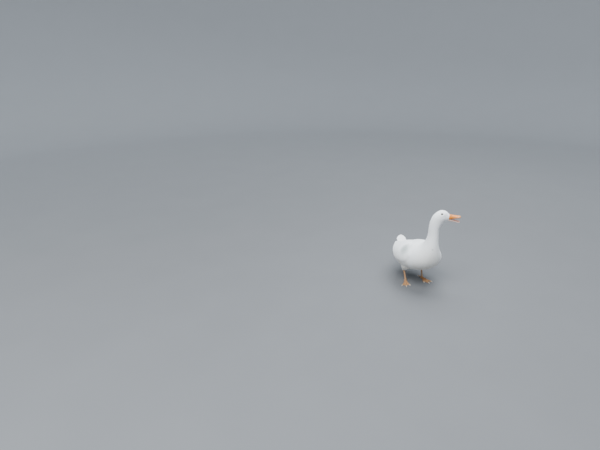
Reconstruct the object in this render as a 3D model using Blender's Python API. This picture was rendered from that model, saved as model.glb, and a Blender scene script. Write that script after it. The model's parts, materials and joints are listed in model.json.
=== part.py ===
"""The pekin duck of the photograph as a still, life-size model: the solids of its parts.

Metres, Z up. +X is forward along the trunk, +Y the animal's left. The trunk, neck and head are one skin,
a loft of rings skin(u, v), parted by thin cuts; wings, tail and limbs are laid out from the same skin."""
import math

import bmesh
import bpy
import numpy as np

# Driving sizes of the animal
TRUNK_DEPTH = 0.148
TRUNK_WIDTH = 0.208
NECK_THICK = 0.055
HEAD_DEPTH = 0.061
HEAD_WIDTH = 0.057
HEAD_TURN = 60.0
PIVOT_X = 0.120
GAP = 0.0004
PART_GAP = 0.0008

# Bill, measured from its root at the front of the face
BILL_X = 0.1812
BILL_Z = 0.4270
BILL_LENGTH = 0.060
BILL_WIDTH = 0.0285
UPPER_RISE = 12.0
LOWER_DROP = 11.0

# Eye
EYE_X = 0.1490
EYE_Z = 0.4420
EYE_RADIUS = 0.0062

# Legs: ankle on the floor, hock above it, root of the thigh in the trunk, and the way the toes point
LEGS = {
    "right": {"side": -1, "ankle": (-0.013, -0.055), "hock": (-0.033, -0.058, 0.061),
              "hip": (0.006, -0.056, 0.125), "yaw": -20.0},
    "left": {"side": 1, "ankle": (-0.022, 0.050), "hock": (-0.043, 0.053, 0.061),
             "hip": (0.000, 0.056, 0.126), "yaw": 8.0},
}
SHANK_FOOT = 0.0125
TOE_LENGTH = (0.050, 0.064, 0.060)
TOE_SPREAD = 22.0
WEB_THICK = 0.0022

# Wing
WING_FRONT = 0.066
WING_REAR = -0.185
WING_LEAVE = -0.118
WING_PAD = 0.0072
WING_CORE = 0.74
VANE_THICK = 0.0009
VANE_ROOT = 0.0022
VANE_TILT = 0.0007
# Tiers of the wing: count, a of the roots (lowest, highest), a of the tips, b of the roots, b of the tips,
# half width, lift of the tips, rows
WING_TIERS = (
    (4, (0.10, 0.12), (0.28, 0.28), 0.12, 0.88, 0.10, 0.90, 0.0160, 0.0008, 4),
    (4, (0.24, 0.25), (0.46, 0.46), 0.08, 0.92, 0.09, 0.91, 0.0175, 0.0010, 4),
    (4, (0.40, 0.40), (0.64, 0.66), 0.08, 0.92, 0.09, 0.91, 0.0165, 0.0012, 4),
    (4, (0.70, 0.66), (0.93, 1.02), 0.28, 0.82, 0.42, 0.80, 0.0085, 0.0004, 4),
    (6, (0.56, 0.56), (0.80, 0.97), 0.07, 0.93, 0.14, 0.90, 0.0118, 0.0016, 5),
)
WING_LIFT = 0.0013
WING_SLOPE = 0.32

# Tail
TAIL_RISE = 17.0
TAIL_PIVOT = 0.0345
TAIL_SHEET = 0.0200
TAIL_CORE = 0.016
TAIL_WAG = 0.22
TAIL_LENGTH = 0.059
TAIL_ROOF = 0.20
TAIL_COUNT = 9
# Coverts of the tail: count, start, end, spread, fan, heights over the sheet (root, middle, tip), half width
TAIL_COVERTS = (
    (3, -0.008, 0.034, 0.015, 9, (0.0010, 0.0052, -0.0006), 0.0130),
    (3, -0.006, 0.036, 0.015, 9, (-0.0010, -0.0056, 0.0012), 0.0130),
)

# Rings of the skin: x, z, tilt in degrees, depth, width, share of depth under the widest point, turn, lean
RINGS = np.array([
    (-0.174, 0.141, 16, 0.36 * TRUNK_DEPTH, 0.42 * TRUNK_WIDTH, 0.50, 0, 0),
    (-0.148, 0.1365, 19, 0.60 * TRUNK_DEPTH, 0.65 * TRUNK_WIDTH, 0.50, 0, 0),
    (-0.108, 0.136, 20, 0.79 * TRUNK_DEPTH, 0.86 * TRUNK_WIDTH, 0.48, 0, 0),
    (-0.050, 0.1430, 20, 1.02 * TRUNK_DEPTH, 0.98 * TRUNK_WIDTH, 0.47, 0, 0),
    (0.010, 0.163, 23, 1.04 * TRUNK_DEPTH, 1.00 * TRUNK_WIDTH, 0.46, 0, 0),
    (0.058, 0.185, 32, 1.03 * TRUNK_DEPTH, 0.90 * TRUNK_WIDTH, 0.43, 0, 0),
    (0.092, 0.212, 47, 2.42 * NECK_THICK, 2.70 * NECK_THICK, 0.42, 2, 0.001),
    (0.111, 0.244, 62, 1.78 * NECK_THICK, 1.80 * NECK_THICK, 0.45, 8, 0.002),
    (0.118, 0.282, 76, 1.20 * NECK_THICK, 1.18 * NECK_THICK, 0.50, 20, 0.004),
    (0.119, 0.322, 86, 0.95 * NECK_THICK, 0.93 * NECK_THICK, 0.50, 36, 0.006),
    (0.119, 0.360, 84, 0.95 * NECK_THICK, 0.94 * NECK_THICK, 0.50, 50, 0.007),
    (0.126, 0.392, 68, 0.95 * HEAD_DEPTH, 0.96 * HEAD_WIDTH, 0.52, 57, 0.007),
    (0.140, 0.416, 40, 1.01 * HEAD_DEPTH, 1.01 * HEAD_WIDTH, 0.55, 60, 0.006),
    (0.156, 0.427, 12, 0.95 * HEAD_DEPTH, 0.97 * HEAD_WIDTH, 0.55, 60, 0.006),
    (0.170, 0.4275, 0, 0.77 * HEAD_DEPTH, 0.76 * HEAD_WIDTH, 0.52, 60, 0.006),
    (0.180, 0.4245, -4, 0.57 * HEAD_DEPTH, 0.56 * HEAD_WIDTH, 0.50, 60, 0.006),
], float)
NECK_RING, HEAD_RING = 6.0, 11.0
WIDEST_POWER = 0.92


def spline(t, knots, values):
    """A natural cubic spline through the values at the knots, read at t."""
    n, h = len(knots), np.diff(knots)
    a, b = np.zeros((n, n)), np.zeros((n, values.shape[1]))
    a[0, 0] = a[-1, -1] = 1.0
    for i in range(1, n - 1):
        a[i, i - 1], a[i, i], a[i, i + 1] = h[i - 1], 2 * (h[i - 1] + h[i]), h[i]
        b[i] = 6 * ((values[i + 1] - values[i]) / h[i] - (values[i] - values[i - 1]) / h[i - 1])
    m = np.linalg.solve(a, b)
    i = np.clip(np.searchsorted(knots, t, side="right") - 1, 0, n - 2)
    step = h[i][..., None]
    p = (knots[i + 1] - t)[..., None] / step
    q = (t - knots[i])[..., None] / step
    return p * values[i] + q * values[i + 1] + ((p ** 3 - p) * m[i] + (q ** 3 - q) * m[i + 1]) * step ** 2 / 6


def ring_knots():
    """The place of every ring along the skin's middle line, 0 at the tail to 1 at the bill."""
    lengths = np.linalg.norm(np.diff(RINGS[:, 0:2], axis=0), axis=1)
    knots = np.concatenate([[0.0], np.cumsum(lengths)])
    return knots / knots[-1]


KNOTS = ring_knots()


def at_ring(index):
    """u of a ring, by its number, fractions allowed."""
    return float(np.interp(index, np.arange(len(KNOTS)), KNOTS))


def turned(points, turn, lean):
    """Points turned about the neck's upright axis by an angle in degrees and moved aside by the lean."""
    c, s = np.cos(np.radians(turn)), np.sin(np.radians(turn))
    dx, y = points[..., 0] - PIVOT_X, points[..., 1]
    return np.stack([PIVOT_X + c * dx - s * y, lean + s * dx + c * y, points[..., 2]], axis=-1)


def on_head(points):
    """Points given for a head that looks straight ahead, carried to where the head is turned."""
    return turned(np.asarray(points, float), HEAD_TURN, RINGS[-1, 7])


def skin(u, v):
    """The skin: u from tail to bill, v once round from the belly by the right side (0.25) to the back."""
    u, v = np.broadcast_arrays(np.asarray(u, float), np.asarray(v, float))
    r = spline(u, KNOTS, RINGS)
    tilt, depth, widest = np.radians(r[..., 2]), r[..., 3], r[..., 5]
    up, side = -np.cos(2 * np.pi * v), np.sin(2 * np.pi * v)
    rise = depth * (np.where(up > 0, 1 - widest, widest) * up + widest - 0.5)
    y = -r[..., 4] / 2 * np.sign(side) * np.abs(side) ** WIDEST_POWER
    flat = np.stack([r[..., 0] - rise * np.sin(tilt), y, r[..., 1] + rise * np.cos(tilt)], axis=-1)
    return turned(flat, r[..., 6], r[..., 7])


def skin_out(u, v, height):
    """A point at a height over the skin, along its outward normal."""
    e = 1e-4
    u = np.asarray(u, float)
    along = skin(np.minimum(u + e, 1), v) - skin(np.maximum(u - e, 0), v)
    round_ = skin(u, np.asarray(v) + e) - skin(u, np.asarray(v) - e)
    normal = np.cross(along, round_)
    normal /= np.linalg.norm(normal, axis=-1, keepdims=True)
    return skin(u, v) + normal * np.asarray(height)[..., None]


def u_of_x(x):
    """u where the middle line of the trunk stands at x."""
    u = np.linspace(0, at_ring(6), 200)
    return np.interp(x, spline(u, KNOTS, RINGS)[:, 0], u)


def look(name, colour, roughness):
    """A plain material of one colour."""
    mat = bpy.data.materials.new(name)
    mat.use_nodes = True
    shader = mat.node_tree.nodes["Principled BSDF"]
    shader.inputs["Base Color"].default_value = (*colour, 1)
    shader.inputs["Roughness"].default_value = roughness
    return mat


def solid(name, points, faces, collection, mat=None):
    """A mesh object from points and faces, turned so that its faces look outward."""
    mesh = bpy.data.meshes.new(name)
    corners = [tuple(p) for p in np.asarray(points, float).reshape(-1, 3)]
    mesh.from_pydata(corners, [], [tuple(f) for f in faces])
    bm = bmesh.new()
    bm.from_mesh(mesh)
    bmesh.ops.triangulate(bm, faces=bm.faces[:])
    bmesh.ops.recalc_face_normals(bm, faces=bm.faces[:])
    if bm.calc_volume(signed=True) < 0:
        bmesh.ops.reverse_faces(bm, faces=bm.faces[:])
    bm.to_mesh(mesh)
    bm.free()
    obj = bpy.data.objects.new(name, mesh)
    collection.objects.link(obj)
    if mat:
        mesh.materials.append(mat)
    return obj


def tube_faces(rows, cols):
    """Faces of a tube of rings, closed at both ends by fans; the two middle points come after the rings."""
    faces = []
    for i in range(rows - 1):
        for j in range(cols):
            k = (j + 1) % cols
            faces.append((i * cols + j, i * cols + k, (i + 1) * cols + k, (i + 1) * cols + j))
    first, last = rows * cols, rows * cols + 1
    for j in range(cols):
        k = (j + 1) % cols
        faces.append((k, j, first))
        faces.append(((rows - 1) * cols + j, (rows - 1) * cols + k, last))
    return faces


def tube(name, grid, collection, mat=None):
    """A closed tube through a grid of points, rows along and columns around."""
    rows, cols = grid.shape[:2]
    points = np.concatenate([grid.reshape(-1, 3), grid[:1].mean(axis=1), grid[-1:].mean(axis=1)])
    return solid(name, points, tube_faces(rows, cols), collection, mat)


def plate(name, upper, lower, collection, mat=None):
    """A closed plate between two grids of points, both faces parted into the same triangles."""
    rows, cols = upper.shape[:2]
    n = rows * cols
    faces = []
    for i in range(rows - 1):
        for j in range(cols - 1):
            a, b, c, d = i * cols + j, i * cols + j + 1, (i + 1) * cols + j + 1, (i + 1) * cols + j
            cut = ((a, b, c), (a, c, d)) if (i + j) % 2 else ((a, b, d), (b, c, d))
            for t in cut:
                faces.append(t)
                faces.append(tuple(n + k for k in reversed(t)))
    rim = list(range(cols - 1)) + [i * cols + cols - 1 for i in range(rows - 1)]
    rim += [(rows - 1) * cols + j for j in range(cols - 1, 0, -1)]
    rim += [i * cols for i in range(rows - 1, 0, -1)]
    for k, a in enumerate(rim):
        b = rim[(k + 1) % len(rim)]
        faces.append((a, n + a, n + b))
        faces.append((a, n + b, b))
    return solid(name, np.concatenate([upper.reshape(-1, 3), lower.reshape(-1, 3)]), faces, collection, mat)


def ball(name, centre, radii, collection, mat=None, rows=10, cols=16):
    """An ellipsoid of rings with its poles on Y."""
    a = np.linspace(0, np.pi, rows + 1)[1:-1, None]
    b = np.linspace(0, 2 * np.pi, cols + 1)[None, :-1]
    grid = np.stack([radii[0] * np.sin(a) * np.cos(b), radii[1] * np.cos(a) * np.ones_like(b),
                     radii[2] * np.sin(a) * np.sin(b)], axis=-1)
    points = np.concatenate([grid.reshape(-1, 3), [[0, radii[1], 0], [0, -radii[1], 0]]]) + np.asarray(centre)
    return solid(name, points, tube_faces(rows - 1, cols), collection, mat)


def whole(obj):
    """Only the largest closed surface of an object is kept, its faces looking outward."""
    bm = bmesh.new()
    bm.from_mesh(obj.data)
    bmesh.ops.remove_doubles(bm, verts=bm.verts[:], dist=0.000002)
    bmesh.ops.dissolve_degenerate(bm, edges=bm.edges[:], dist=0.000001)
    bmesh.ops.triangulate(bm, faces=bm.faces[:])
    left, groups = set(bm.verts), []
    while left:
        group, front = set(), [left.pop()]
        while front:
            vert = front.pop()
            group.add(vert)
            for edge in vert.link_edges:
                other = edge.other_vert(vert)
                if other in left:
                    left.remove(other)
                    front.append(other)
        groups.append(group)
    keep = max(groups, key=len)
    bmesh.ops.delete(bm, geom=[v for v in bm.verts if v not in keep], context="VERTS")
    bm.to_mesh(obj.data)
    bm.free()


def join_up(obj, others, operation="UNION", solver="MANIFOLD"):
    """The others, gathered in a collection, are fused into or cut out of the object and then removed."""
    group = bpy.data.collections.new(obj.name + "_with")
    bpy.context.scene.collection.children.link(group)
    for other in others:
        for home in list(other.users_collection):
            home.objects.unlink(other)
        group.objects.link(other)
    mod = obj.modifiers.new("fuse", "BOOLEAN")
    mod.operation = operation
    mod.solver = solver
    mod.operand_type = "COLLECTION"
    mod.collection = group
    if solver == "EXACT":
        mod.use_self = len(others) > 1
    graph = bpy.context.evaluated_depsgraph_get()
    graph.update()
    mesh = bpy.data.meshes.new_from_object(obj.evaluated_get(graph))
    obj.modifiers.clear()
    old = obj.data
    obj.data = mesh
    bpy.data.meshes.remove(old)
    for other in list(group.objects):
        bpy.data.objects.remove(other)
    bpy.data.collections.remove(group)
    whole(obj)
    return obj


def skin_part(name, first, last, rows, cols, collection, mat, grow=0.0):
    """A piece of the skin between two values of u, closed at its ends."""
    u = np.linspace(first, last, rows)[:, None]
    v = (np.arange(cols) / cols)[None, :]
    u, v = np.broadcast_arrays(u, v)
    points = skin_out(u, v, np.full(u.shape, grow)) if grow else skin(u, v)
    return tube(name, points, collection, mat)


def grown_trunk(cutters):
    """The trunk a little larger, to cut clear what lies on it."""
    return skin_part("trunk_grown", 0.0, cut_u(NECK_RING, -1), 24, 40, cutters, None, grow=0.0006)


def cut_u(ring, sign):
    """u on one side of the thin cut through the skin at a ring."""
    return at_ring(ring) + sign * PART_GAP / 2 / SKIN_LENGTH


SKIN_LENGTH = float(np.linalg.norm(np.diff(RINGS[:, 0:2], axis=0), axis=1).sum())


def bill_section(s, upper):
    """Half width, crown and cutting edge of the bill at a share s of its length."""
    waist = 0.09 * np.sin(np.pi * np.minimum(s / 0.75, 1))
    width = BILL_WIDTH / 2 * (0.95 - waist + 0.06 * np.clip((s - 0.3) / 0.5, 0, 1))
    tip = np.sqrt(np.clip(1 - np.clip((s - 0.80) / 0.2, 0, 1) ** 2.4, 0, 1))
    width = width * (0.12 + 0.88 * tip)
    if upper:
        crown = 0.0125 * (1 - s) ** 1.35 + 0.0100 * (1 - 0.45 * s) * (0.30 + 0.70 * tip)
        return width, crown
    crown = 0.0078 * (1 - s) ** 1.1 + 0.0030 * (0.35 + 0.65 * tip)
    return width * 0.90, crown


def bill_half(name, upper, collection, mat):
    """The upper or the lower half of the bill: a rounded outside and a hollow inside, along its own slope."""
    rows, half = 13, 8
    s = np.linspace(0, 1, rows)[:, None]
    t = np.linspace(-1, 1, half)[None, :]
    width, crown = bill_section(s, upper)
    sign = 1 if upper else -1
    y = width * np.sin(t * np.pi / 2) * np.ones_like(s)
    arch = np.cos(t * np.pi / 2) ** 0.75
    outer = crown * arch
    wall = 0.0012 + 0.0010 * (1 - s)
    inner = np.maximum(outer - wall - 0.0010, 0) * 0.72 * (1 - (1 - s) ** 6)
    inner = np.where(np.abs(t) > 0.99, 0, inner) - 0.0008
    x = s * BILL_LENGTH * (1.0 if upper else 0.95) * np.ones_like(t)
    if upper:
        outer = outer + 0.0008 * np.exp(-((s - 0.95) / 0.05) ** 2 - (t / 0.4) ** 2)
    ring_x = np.concatenate([x, x[:, ::-1]], axis=1)
    ring_y = np.concatenate([y, y[:, ::-1] * 0.97], axis=1)
    ring_z = sign * np.concatenate([outer + 0.0004, inner[:, ::-1]], axis=1)
    angle = math.radians(UPPER_RISE if upper else -LOWER_DROP)
    root_z = BILL_Z - (0.0092 if upper else 0.0118)
    root_x = BILL_X if upper else BILL_X - 0.0004
    grid = np.stack([root_x + ring_x * math.cos(angle) - ring_z * math.sin(angle), ring_y,
                     root_z + ring_x * math.sin(angle) + ring_z * math.cos(angle)], axis=-1)
    grid[0, :, 0] = root_x
    return tube(name, on_head(grid), collection, mat)


def build_head(parts, cutters, mats):
    """The head with lids and sockets, the gape, and the eyes and the bill set in it."""
    head = skin_part("head", cut_u(HEAD_RING, 1), 1.0, 16, 26, parts, mats["white"])
    eye_y = 0.0198
    for side in (-1, 1):
        rim = lid_ring(side, eye_y, cutters)
        join_up(head, [rim])
    sockets = [ball(f"socket_{side}", (0, 0, 0), (EYE_RADIUS + GAP,) * 3, cutters, rows=9, cols=14)
               for side in (-1, 1)]
    for socket, side in zip(sockets, (-1, 1)):
        move_on_head(socket, (EYE_X, side * eye_y, EYE_Z))
    join_up(head, sockets, "DIFFERENCE")
    gape = wedge("gape", cutters)
    join_up(head, [gape], "DIFFERENCE")
    for side, word in ((-1, "right"), (1, "left")):
        eye = ball(f"eye_{word}", (0, 0, 0), (EYE_RADIUS,) * 3, parts, mats["eye"], rows=10, cols=14)
        move_on_head(eye, (EYE_X, side * eye_y, EYE_Z))
    upper = bill_half("bill_upper", True, parts, mats["bill"])
    nostrils = []
    for side in (-1, 1):
        pit = ball(f"pit_{side}", (0, 0, 0), (0.0042, 0.0022, 0.0016), cutters, rows=6, cols=10)
        move_on_head(pit, (BILL_X + 0.0160, side * 0.0094, BILL_Z + 0.0032))
        nostrils.append(pit)
    join_up(upper, nostrils, "DIFFERENCE")
    bill_half("bill_lower", False, parts, mats["bill_low"])
    tongue(parts, mats["tongue"])


def move_on_head(obj, place):
    """An object built round its own middle, carried to a place on the head and turned with it."""
    points = np.array([v.co[:] for v in obj.data.vertices]) + np.asarray(place)
    for vert, p in zip(obj.data.vertices, on_head(points)):
        vert.co = p


def lid_ring(side, eye_y, cutters):
    """A thin almond ring of lid that stands round the eye on the face."""
    rows, cols = 16, 5
    a = np.linspace(0, 2 * np.pi, rows + 1)[:-1, None]
    b = np.linspace(0, 2 * np.pi, cols + 1)[None, :-1]
    wide, tall, thick = EYE_RADIUS * 0.93, EYE_RADIUS * 0.80, 0.0011
    out = 0.0022 - 0.0012 * np.cos(a) ** 2
    x = (wide + thick * np.cos(b)) * np.cos(a)
    z = (tall + thick * np.cos(b)) * np.sin(a)
    y = side * (eye_y + 0.0030 + out + thick * 0.9 * np.sin(b))
    lean = 0.62
    grid = np.stack([EYE_X + x, y - side * lean * z, EYE_Z + z], axis=-1)
    faces = []
    for i in range(rows):
        for j in range(cols):
            k, m = (i + 1) % rows, (j + 1) % cols
            faces.append((i * cols + j, i * cols + m, k * cols + m, k * cols + j))
    return solid(f"lid_{side}", on_head(grid), faces, cutters)


def wedge(name, cutters):
    """The wedge cut into the face between the halves of the open bill."""
    z0 = BILL_Z - 0.0105
    x0, x1 = BILL_X - 0.010, BILL_X + 0.004
    y = 0.022
    points = []
    for yy in (-y, y):
        points += [(x0, yy, z0 - 0.0003), (x0, yy, z0 + 0.0003), (x1, yy, z0 + 0.0020), (x1, yy, z0 - 0.0028)]
    faces = [(0, 1, 2, 3), (7, 6, 5, 4), (0, 4, 5, 1), (1, 5, 6, 2), (2, 6, 7, 3), (3, 7, 4, 0)]
    return solid(name, on_head(points), faces, cutters)


def tongue(parts, mat):
    """A long flat tongue that lies in the lower half of the bill, free of it."""
    rows, cols = 9, 10
    s = np.linspace(0, 1, rows)[:, None]
    b = np.linspace(0, 2 * np.pi, cols + 1)[None, :-1]
    tip = np.sqrt(np.clip(1 - np.clip((s - 0.7) / 0.32, 0, 1) ** 2, 0.05, 1))
    half = 0.0062 * tip * np.clip(0.6 + s, 0, 1)
    tall = 0.0013
    angle = math.radians(-LOWER_DROP)
    along = 0.004 + s * 0.050 + 0 * b
    rise = 0.0026 + tall * np.sin(b)
    x = BILL_X + along * math.cos(angle) - rise * math.sin(angle)
    z = BILL_Z - 0.0118 + along * math.sin(angle) + rise * math.cos(angle)
    tube("tongue", on_head(np.stack([x, half * np.cos(b), z], axis=-1)), parts, mat)


def wing_edges(a):
    """The lower and the upper edge of the folded wing as v of the skin, a from the shoulder to the tip."""
    front = np.sqrt(np.clip(1 - (1 - np.clip(a / 0.30, 0, 1)) ** 2, 0, 1))
    rear = 1 - 0.62 * np.clip((a - 0.45) / 0.55, 0, 1.4) ** 1.3
    middle = 0.300 + 0.085 * a
    return middle - 0.106 * front * rear, middle + 0.138 * front * rear ** 0.8


def wing_point(side, a, b, height):
    """A point at a height over the trunk where the folded wing lies, and behind it straight to the tip."""
    a, b = np.broadcast_arrays(np.asarray(a, float), np.asarray(b, float))
    low, high = wing_edges(a)
    v = low + (high - low) * b
    x = WING_FRONT + (WING_REAR - WING_FRONT) * a
    behind = np.maximum(WING_LEAVE - x, 0)
    p = skin_out(u_of_x(np.maximum(x, WING_LEAVE)), v, np.broadcast_to(height, a.shape))
    y = p[..., 1] * (1 - np.minimum(behind * 4.0, 0.4))
    p = np.stack([p[..., 0] - behind, y, p[..., 2] - WING_SLOPE * behind], axis=-1)
    return p * (1, -side, 1)


def wing_thickness(a, b):
    """How far the folded wing's core stands off the trunk."""
    edge = np.clip(1 - (2 * b - 1) ** 2, 0, 1) ** np.where(b > 0.5, 0.8, 0.5)
    end = np.clip(a / 0.12, 0, 1) ** 0.5 * np.clip((1.10 - a) / 0.50, 0, 1) ** 0.8
    return 0.0011 + WING_PAD * edge * end


def wing_top(side, a, b, extra):
    """A point over the outer face of the wing's core."""
    a, b = np.broadcast_arrays(np.asarray(a, float), np.asarray(b, float))
    return wing_point(side, a, b, WING_LIFT + wing_thickness(a, b) + extra)


def unit(vectors):
    """The vectors at length one."""
    return vectors / np.linalg.norm(vectors, axis=-1, keepdims=True)


def vane(name, line, across, normal, half, collection, tilt=0.0, camber=0.10):
    """One feather: a thin curved blade along a line of points from its sunk root to its blunt tip."""
    rows = len(line)
    t = np.linspace(0, 1, rows)
    width = half * np.interp(t, [0, 0.3, 0.6, 0.82, 1], [0.55, 0.92, 1.0, 0.86, 0.34])
    back = np.zeros(rows)
    back[-1] = 0.55 * half
    ahead = unit(np.gradient(line, axis=0))
    side = np.array([-1.0, 0.0, 1.0])[None, :, None]
    middle = line[:, None, :] + across[:, None, :] * width[:, None, None] * side
    middle = middle - normal[:, None, :] * (camber * width[:, None, None] * side ** 2 + tilt * side)
    middle = middle - ahead[:, None, :] * back[:, None, None] * side ** 2
    thick = (VANE_THICK / 2 * np.interp(t, [0, 0.7, 1], [1.25, 1.0, 0.75]))[:, None, None]
    thick = thick * (1 + 0.35 * (1 - side ** 2))
    return plate(name, middle + normal[:, None, :] * thick, middle - normal[:, None, :] * thick, collection)


def wing_vane(name, side, start, end, half, lift, rows, collection):
    """A feather of the wing from start (a, b) to end (a, b), its root sunk in the core and its tip lifted."""
    t = np.linspace(0, 1, rows)
    a, b = start[0] + (end[0] - start[0]) * t, start[1] + (end[1] - start[1]) * t
    height = -VANE_ROOT + (VANE_ROOT + lift) * np.clip(t / 0.45, 0, 1) ** 0.8
    line = wing_top(side, a, b, height)
    across = unit(wing_top(side, a, b + 0.03, height) - wing_top(side, a, b - 0.03, height))
    normal = unit(np.cross(np.gradient(line, axis=0), across))
    normal = normal * np.sign((normal[0] * (0, side, 0)).sum() or 1.0)
    return vane(name, line, across, normal, half, collection, tilt=VANE_TILT)


def wing_tier(side, count, root, tip, low, high, tip_low, tip_high, width, lift, rows, collection, rng):
    """One tier of feathers side by side, from the lowest to the highest."""
    made = []
    for i in range(count):
        f = (i + 0.5) / count
        b0, b1 = low + (high - low) * f, tip_low + (tip_high - tip_low) * f
        a0, a1 = np.interp(f, [0, 1], root), np.interp(f, [0, 1], tip)
        a1 = a1 + 0.008 * (rng.random() - 0.5)
        half = width * (1 + 0.06 * (rng.random() - 0.5))
        name = f"vane_{side}_{i}_{root[0]:.2f}"
        made.append(wing_vane(name, side, (a0, b0), (a1, b1), half, lift, rows, collection))
    return made


def build_wing(word, side, parts, cutters, mats):
    """The folded wing: a core over the flank, tiers of coverts on it, and flight feathers out to the rump."""
    rng = np.random.default_rng(11 if side > 0 else 14)
    a = np.linspace(0.012, WING_CORE, 14)[:, None]
    b = np.linspace(0.0, 1.0, 9)[None, :]
    a, b = np.broadcast_arrays(a, b)
    upper = wing_top(side, a, b, 0.0)
    lower = wing_point(side, a, b, np.full(a.shape, WING_LIFT))
    wing = plate(f"wing_{word}", upper, lower, parts, mats["white"])
    vanes = []
    for tier in WING_TIERS:
        vanes += wing_tier(side, *tier, cutters, rng)
    join_up(wing, vanes)
    return join_up(wing, [grown_trunk(cutters)], "DIFFERENCE")


def tail_place(along, aside, height):
    """A point of the tail: along its rise from the root, aside, and at a height over its sheet."""
    c, s = math.cos(math.radians(TAIL_RISE)), math.sin(math.radians(TAIL_RISE))
    along, aside, height = np.broadcast_arrays(along, aside, height)
    low = TAIL_PIVOT - TAIL_SHEET
    tilt = math.radians(RINGS[0, 2])
    x = RINGS[0, 0] - math.sin(tilt) * TAIL_PIVOT - low * s
    z = RINGS[0, 1] + math.cos(tilt) * TAIL_PIVOT - low * c
    return np.stack([x - along * c + height * s, aside, z + along * s + height * c], axis=-1)


def tail_core(parts, mats):
    """The full root of the tail: the skin's last ring swung up about a pivot over it while it flattens."""
    rows, cols = 10, 22
    s = np.linspace(0, 1, rows)[:, None]
    v = (np.arange(cols) / cols)[None, :]
    up, side = -np.cos(2 * np.pi * v), np.sin(2 * np.pi * v)
    swing = np.clip(s / 0.72, 0, 1)
    flat = swing * swing * (3 - 2 * swing)
    beyond = np.clip((s - 0.72) / 0.28, 0, 1)
    rise = RINGS[0, 3] / 2 * up * (1 - 0.74 * flat) * (1 - 0.76 * beyond) + TAIL_SHEET * flat
    width = RINGS[0, 4] / 2 * np.sign(side) * np.abs(side) ** WIDEST_POWER * (1 - 0.42 * flat)
    width = width * np.sqrt(1 - 0.90 * beyond ** 2)
    rise = rise - TAIL_ROOF * np.abs(width) * flat
    angle = np.radians((TAIL_RISE + RINGS[0, 2]) * swing - RINGS[0, 2])
    out = rise - TAIL_PIVOT
    pivot_x = RINGS[0, 0] - math.sin(math.radians(RINGS[0, 2])) * TAIL_PIVOT
    pivot_z = RINGS[0, 1] + math.cos(math.radians(RINGS[0, 2])) * TAIL_PIVOT
    push = PART_GAP + beyond * TAIL_CORE
    x = pivot_x + out * np.sin(angle) - push * np.cos(angle)
    z = pivot_z + out * np.cos(angle) + push * np.sin(angle)
    y = TAIL_WAG * beyond * TAIL_CORE - width
    return tube("tail", np.stack([x, y, z], axis=-1), parts, mats["white"])


def tail_vane(name, aside, fan, start, end, over, half, rows, collection):
    """A feather of the tail: its root's place aside, the angle it fans out by, its height over the core."""
    t = np.linspace(0, 1, rows)
    reach = start + (end - start) * t
    angle = math.radians(fan)
    y = aside + (reach - start) * math.sin(angle) + TAIL_WAG * np.maximum(reach, 0)
    along = start + (reach - start) * math.cos(angle)
    height = over[0] + (over[1] - over[0]) * np.clip(t / 0.5, 0, 1) + over[2] * t ** 2
    height = height - TAIL_ROOF * np.abs(y - TAIL_WAG * reach)
    line = tail_place(along, y, height)
    roll = math.atan(TAIL_ROOF) * float(np.clip(-aside / 0.006, -1, 1))
    flat = tail_place(0.0, math.cos(roll), math.sin(roll)) - tail_place(0.0, 0.0, 0.0)
    across = unit(np.tile(flat, (rows, 1)))
    ahead = unit(np.gradient(line, axis=0))
    normal = unit(np.cross(across, ahead))
    across = unit(np.cross(ahead, normal))
    return vane(name, line, across, normal, half, collection, camber=0.08)


def build_tail(parts, cutters, mats):
    """The tail: its root, a fan of feathers in a low roof, and coverts over and under them."""
    rng = np.random.default_rng(21)
    tail = tail_core(parts, mats)
    vanes = []
    for i in range(TAIL_COUNT):
        f = (i + 0.5) / TAIL_COUNT * 2 - 1
        length = TAIL_LENGTH * (1 - 0.30 * f * f) + 0.002 * (rng.random() - 0.5)
        layer = 0.0010 * (1 - abs(f)) - 0.0004 + 0.0006 * (i % 2) + 0.0003 * rng.random()
        over = (layer, layer + 0.0004, 0.003)
        vanes.append(tail_vane(f"fan_{i}", 0.0170 * f, 6 * f, 0.000, length, over, 0.0085, 5, cutters))
    for count, start, end, spread, fan, over, half in TAIL_COVERTS:
        for i in range(count):
            f = (i + 0.5) / count * 2 - 1
            reach = end * (1 - 0.20 * f * f) + 0.002 * (rng.random() - 0.5)
            raised = tuple(h + 0.0007 * rng.random() + 0.0004 * (i % 2) for h in over)
            name = f"cover_{over[0]:.3f}_{i}"
            vanes.append(tail_vane(name, spread * f, fan * f, start, reach, raised, half, 4, cutters))
    return join_up(tail, vanes)


def limb(name, line, radii, cols, collection, mat):
    """A limb of round level rings along a line of points, with half thickness along and across."""
    b = np.linspace(0, 2 * np.pi, cols + 1)[None, :-1]
    line, radii = np.asarray(line, float)[:, None, :], np.asarray(radii, float)[:, None, :]
    grid = np.stack([line[..., 0] + radii[..., 0] * np.cos(b), line[..., 1] + radii[..., 1] * np.sin(b),
                     line[..., 2] + 0 * b], axis=-1)
    return tube(name, grid, collection, mat)


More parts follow.
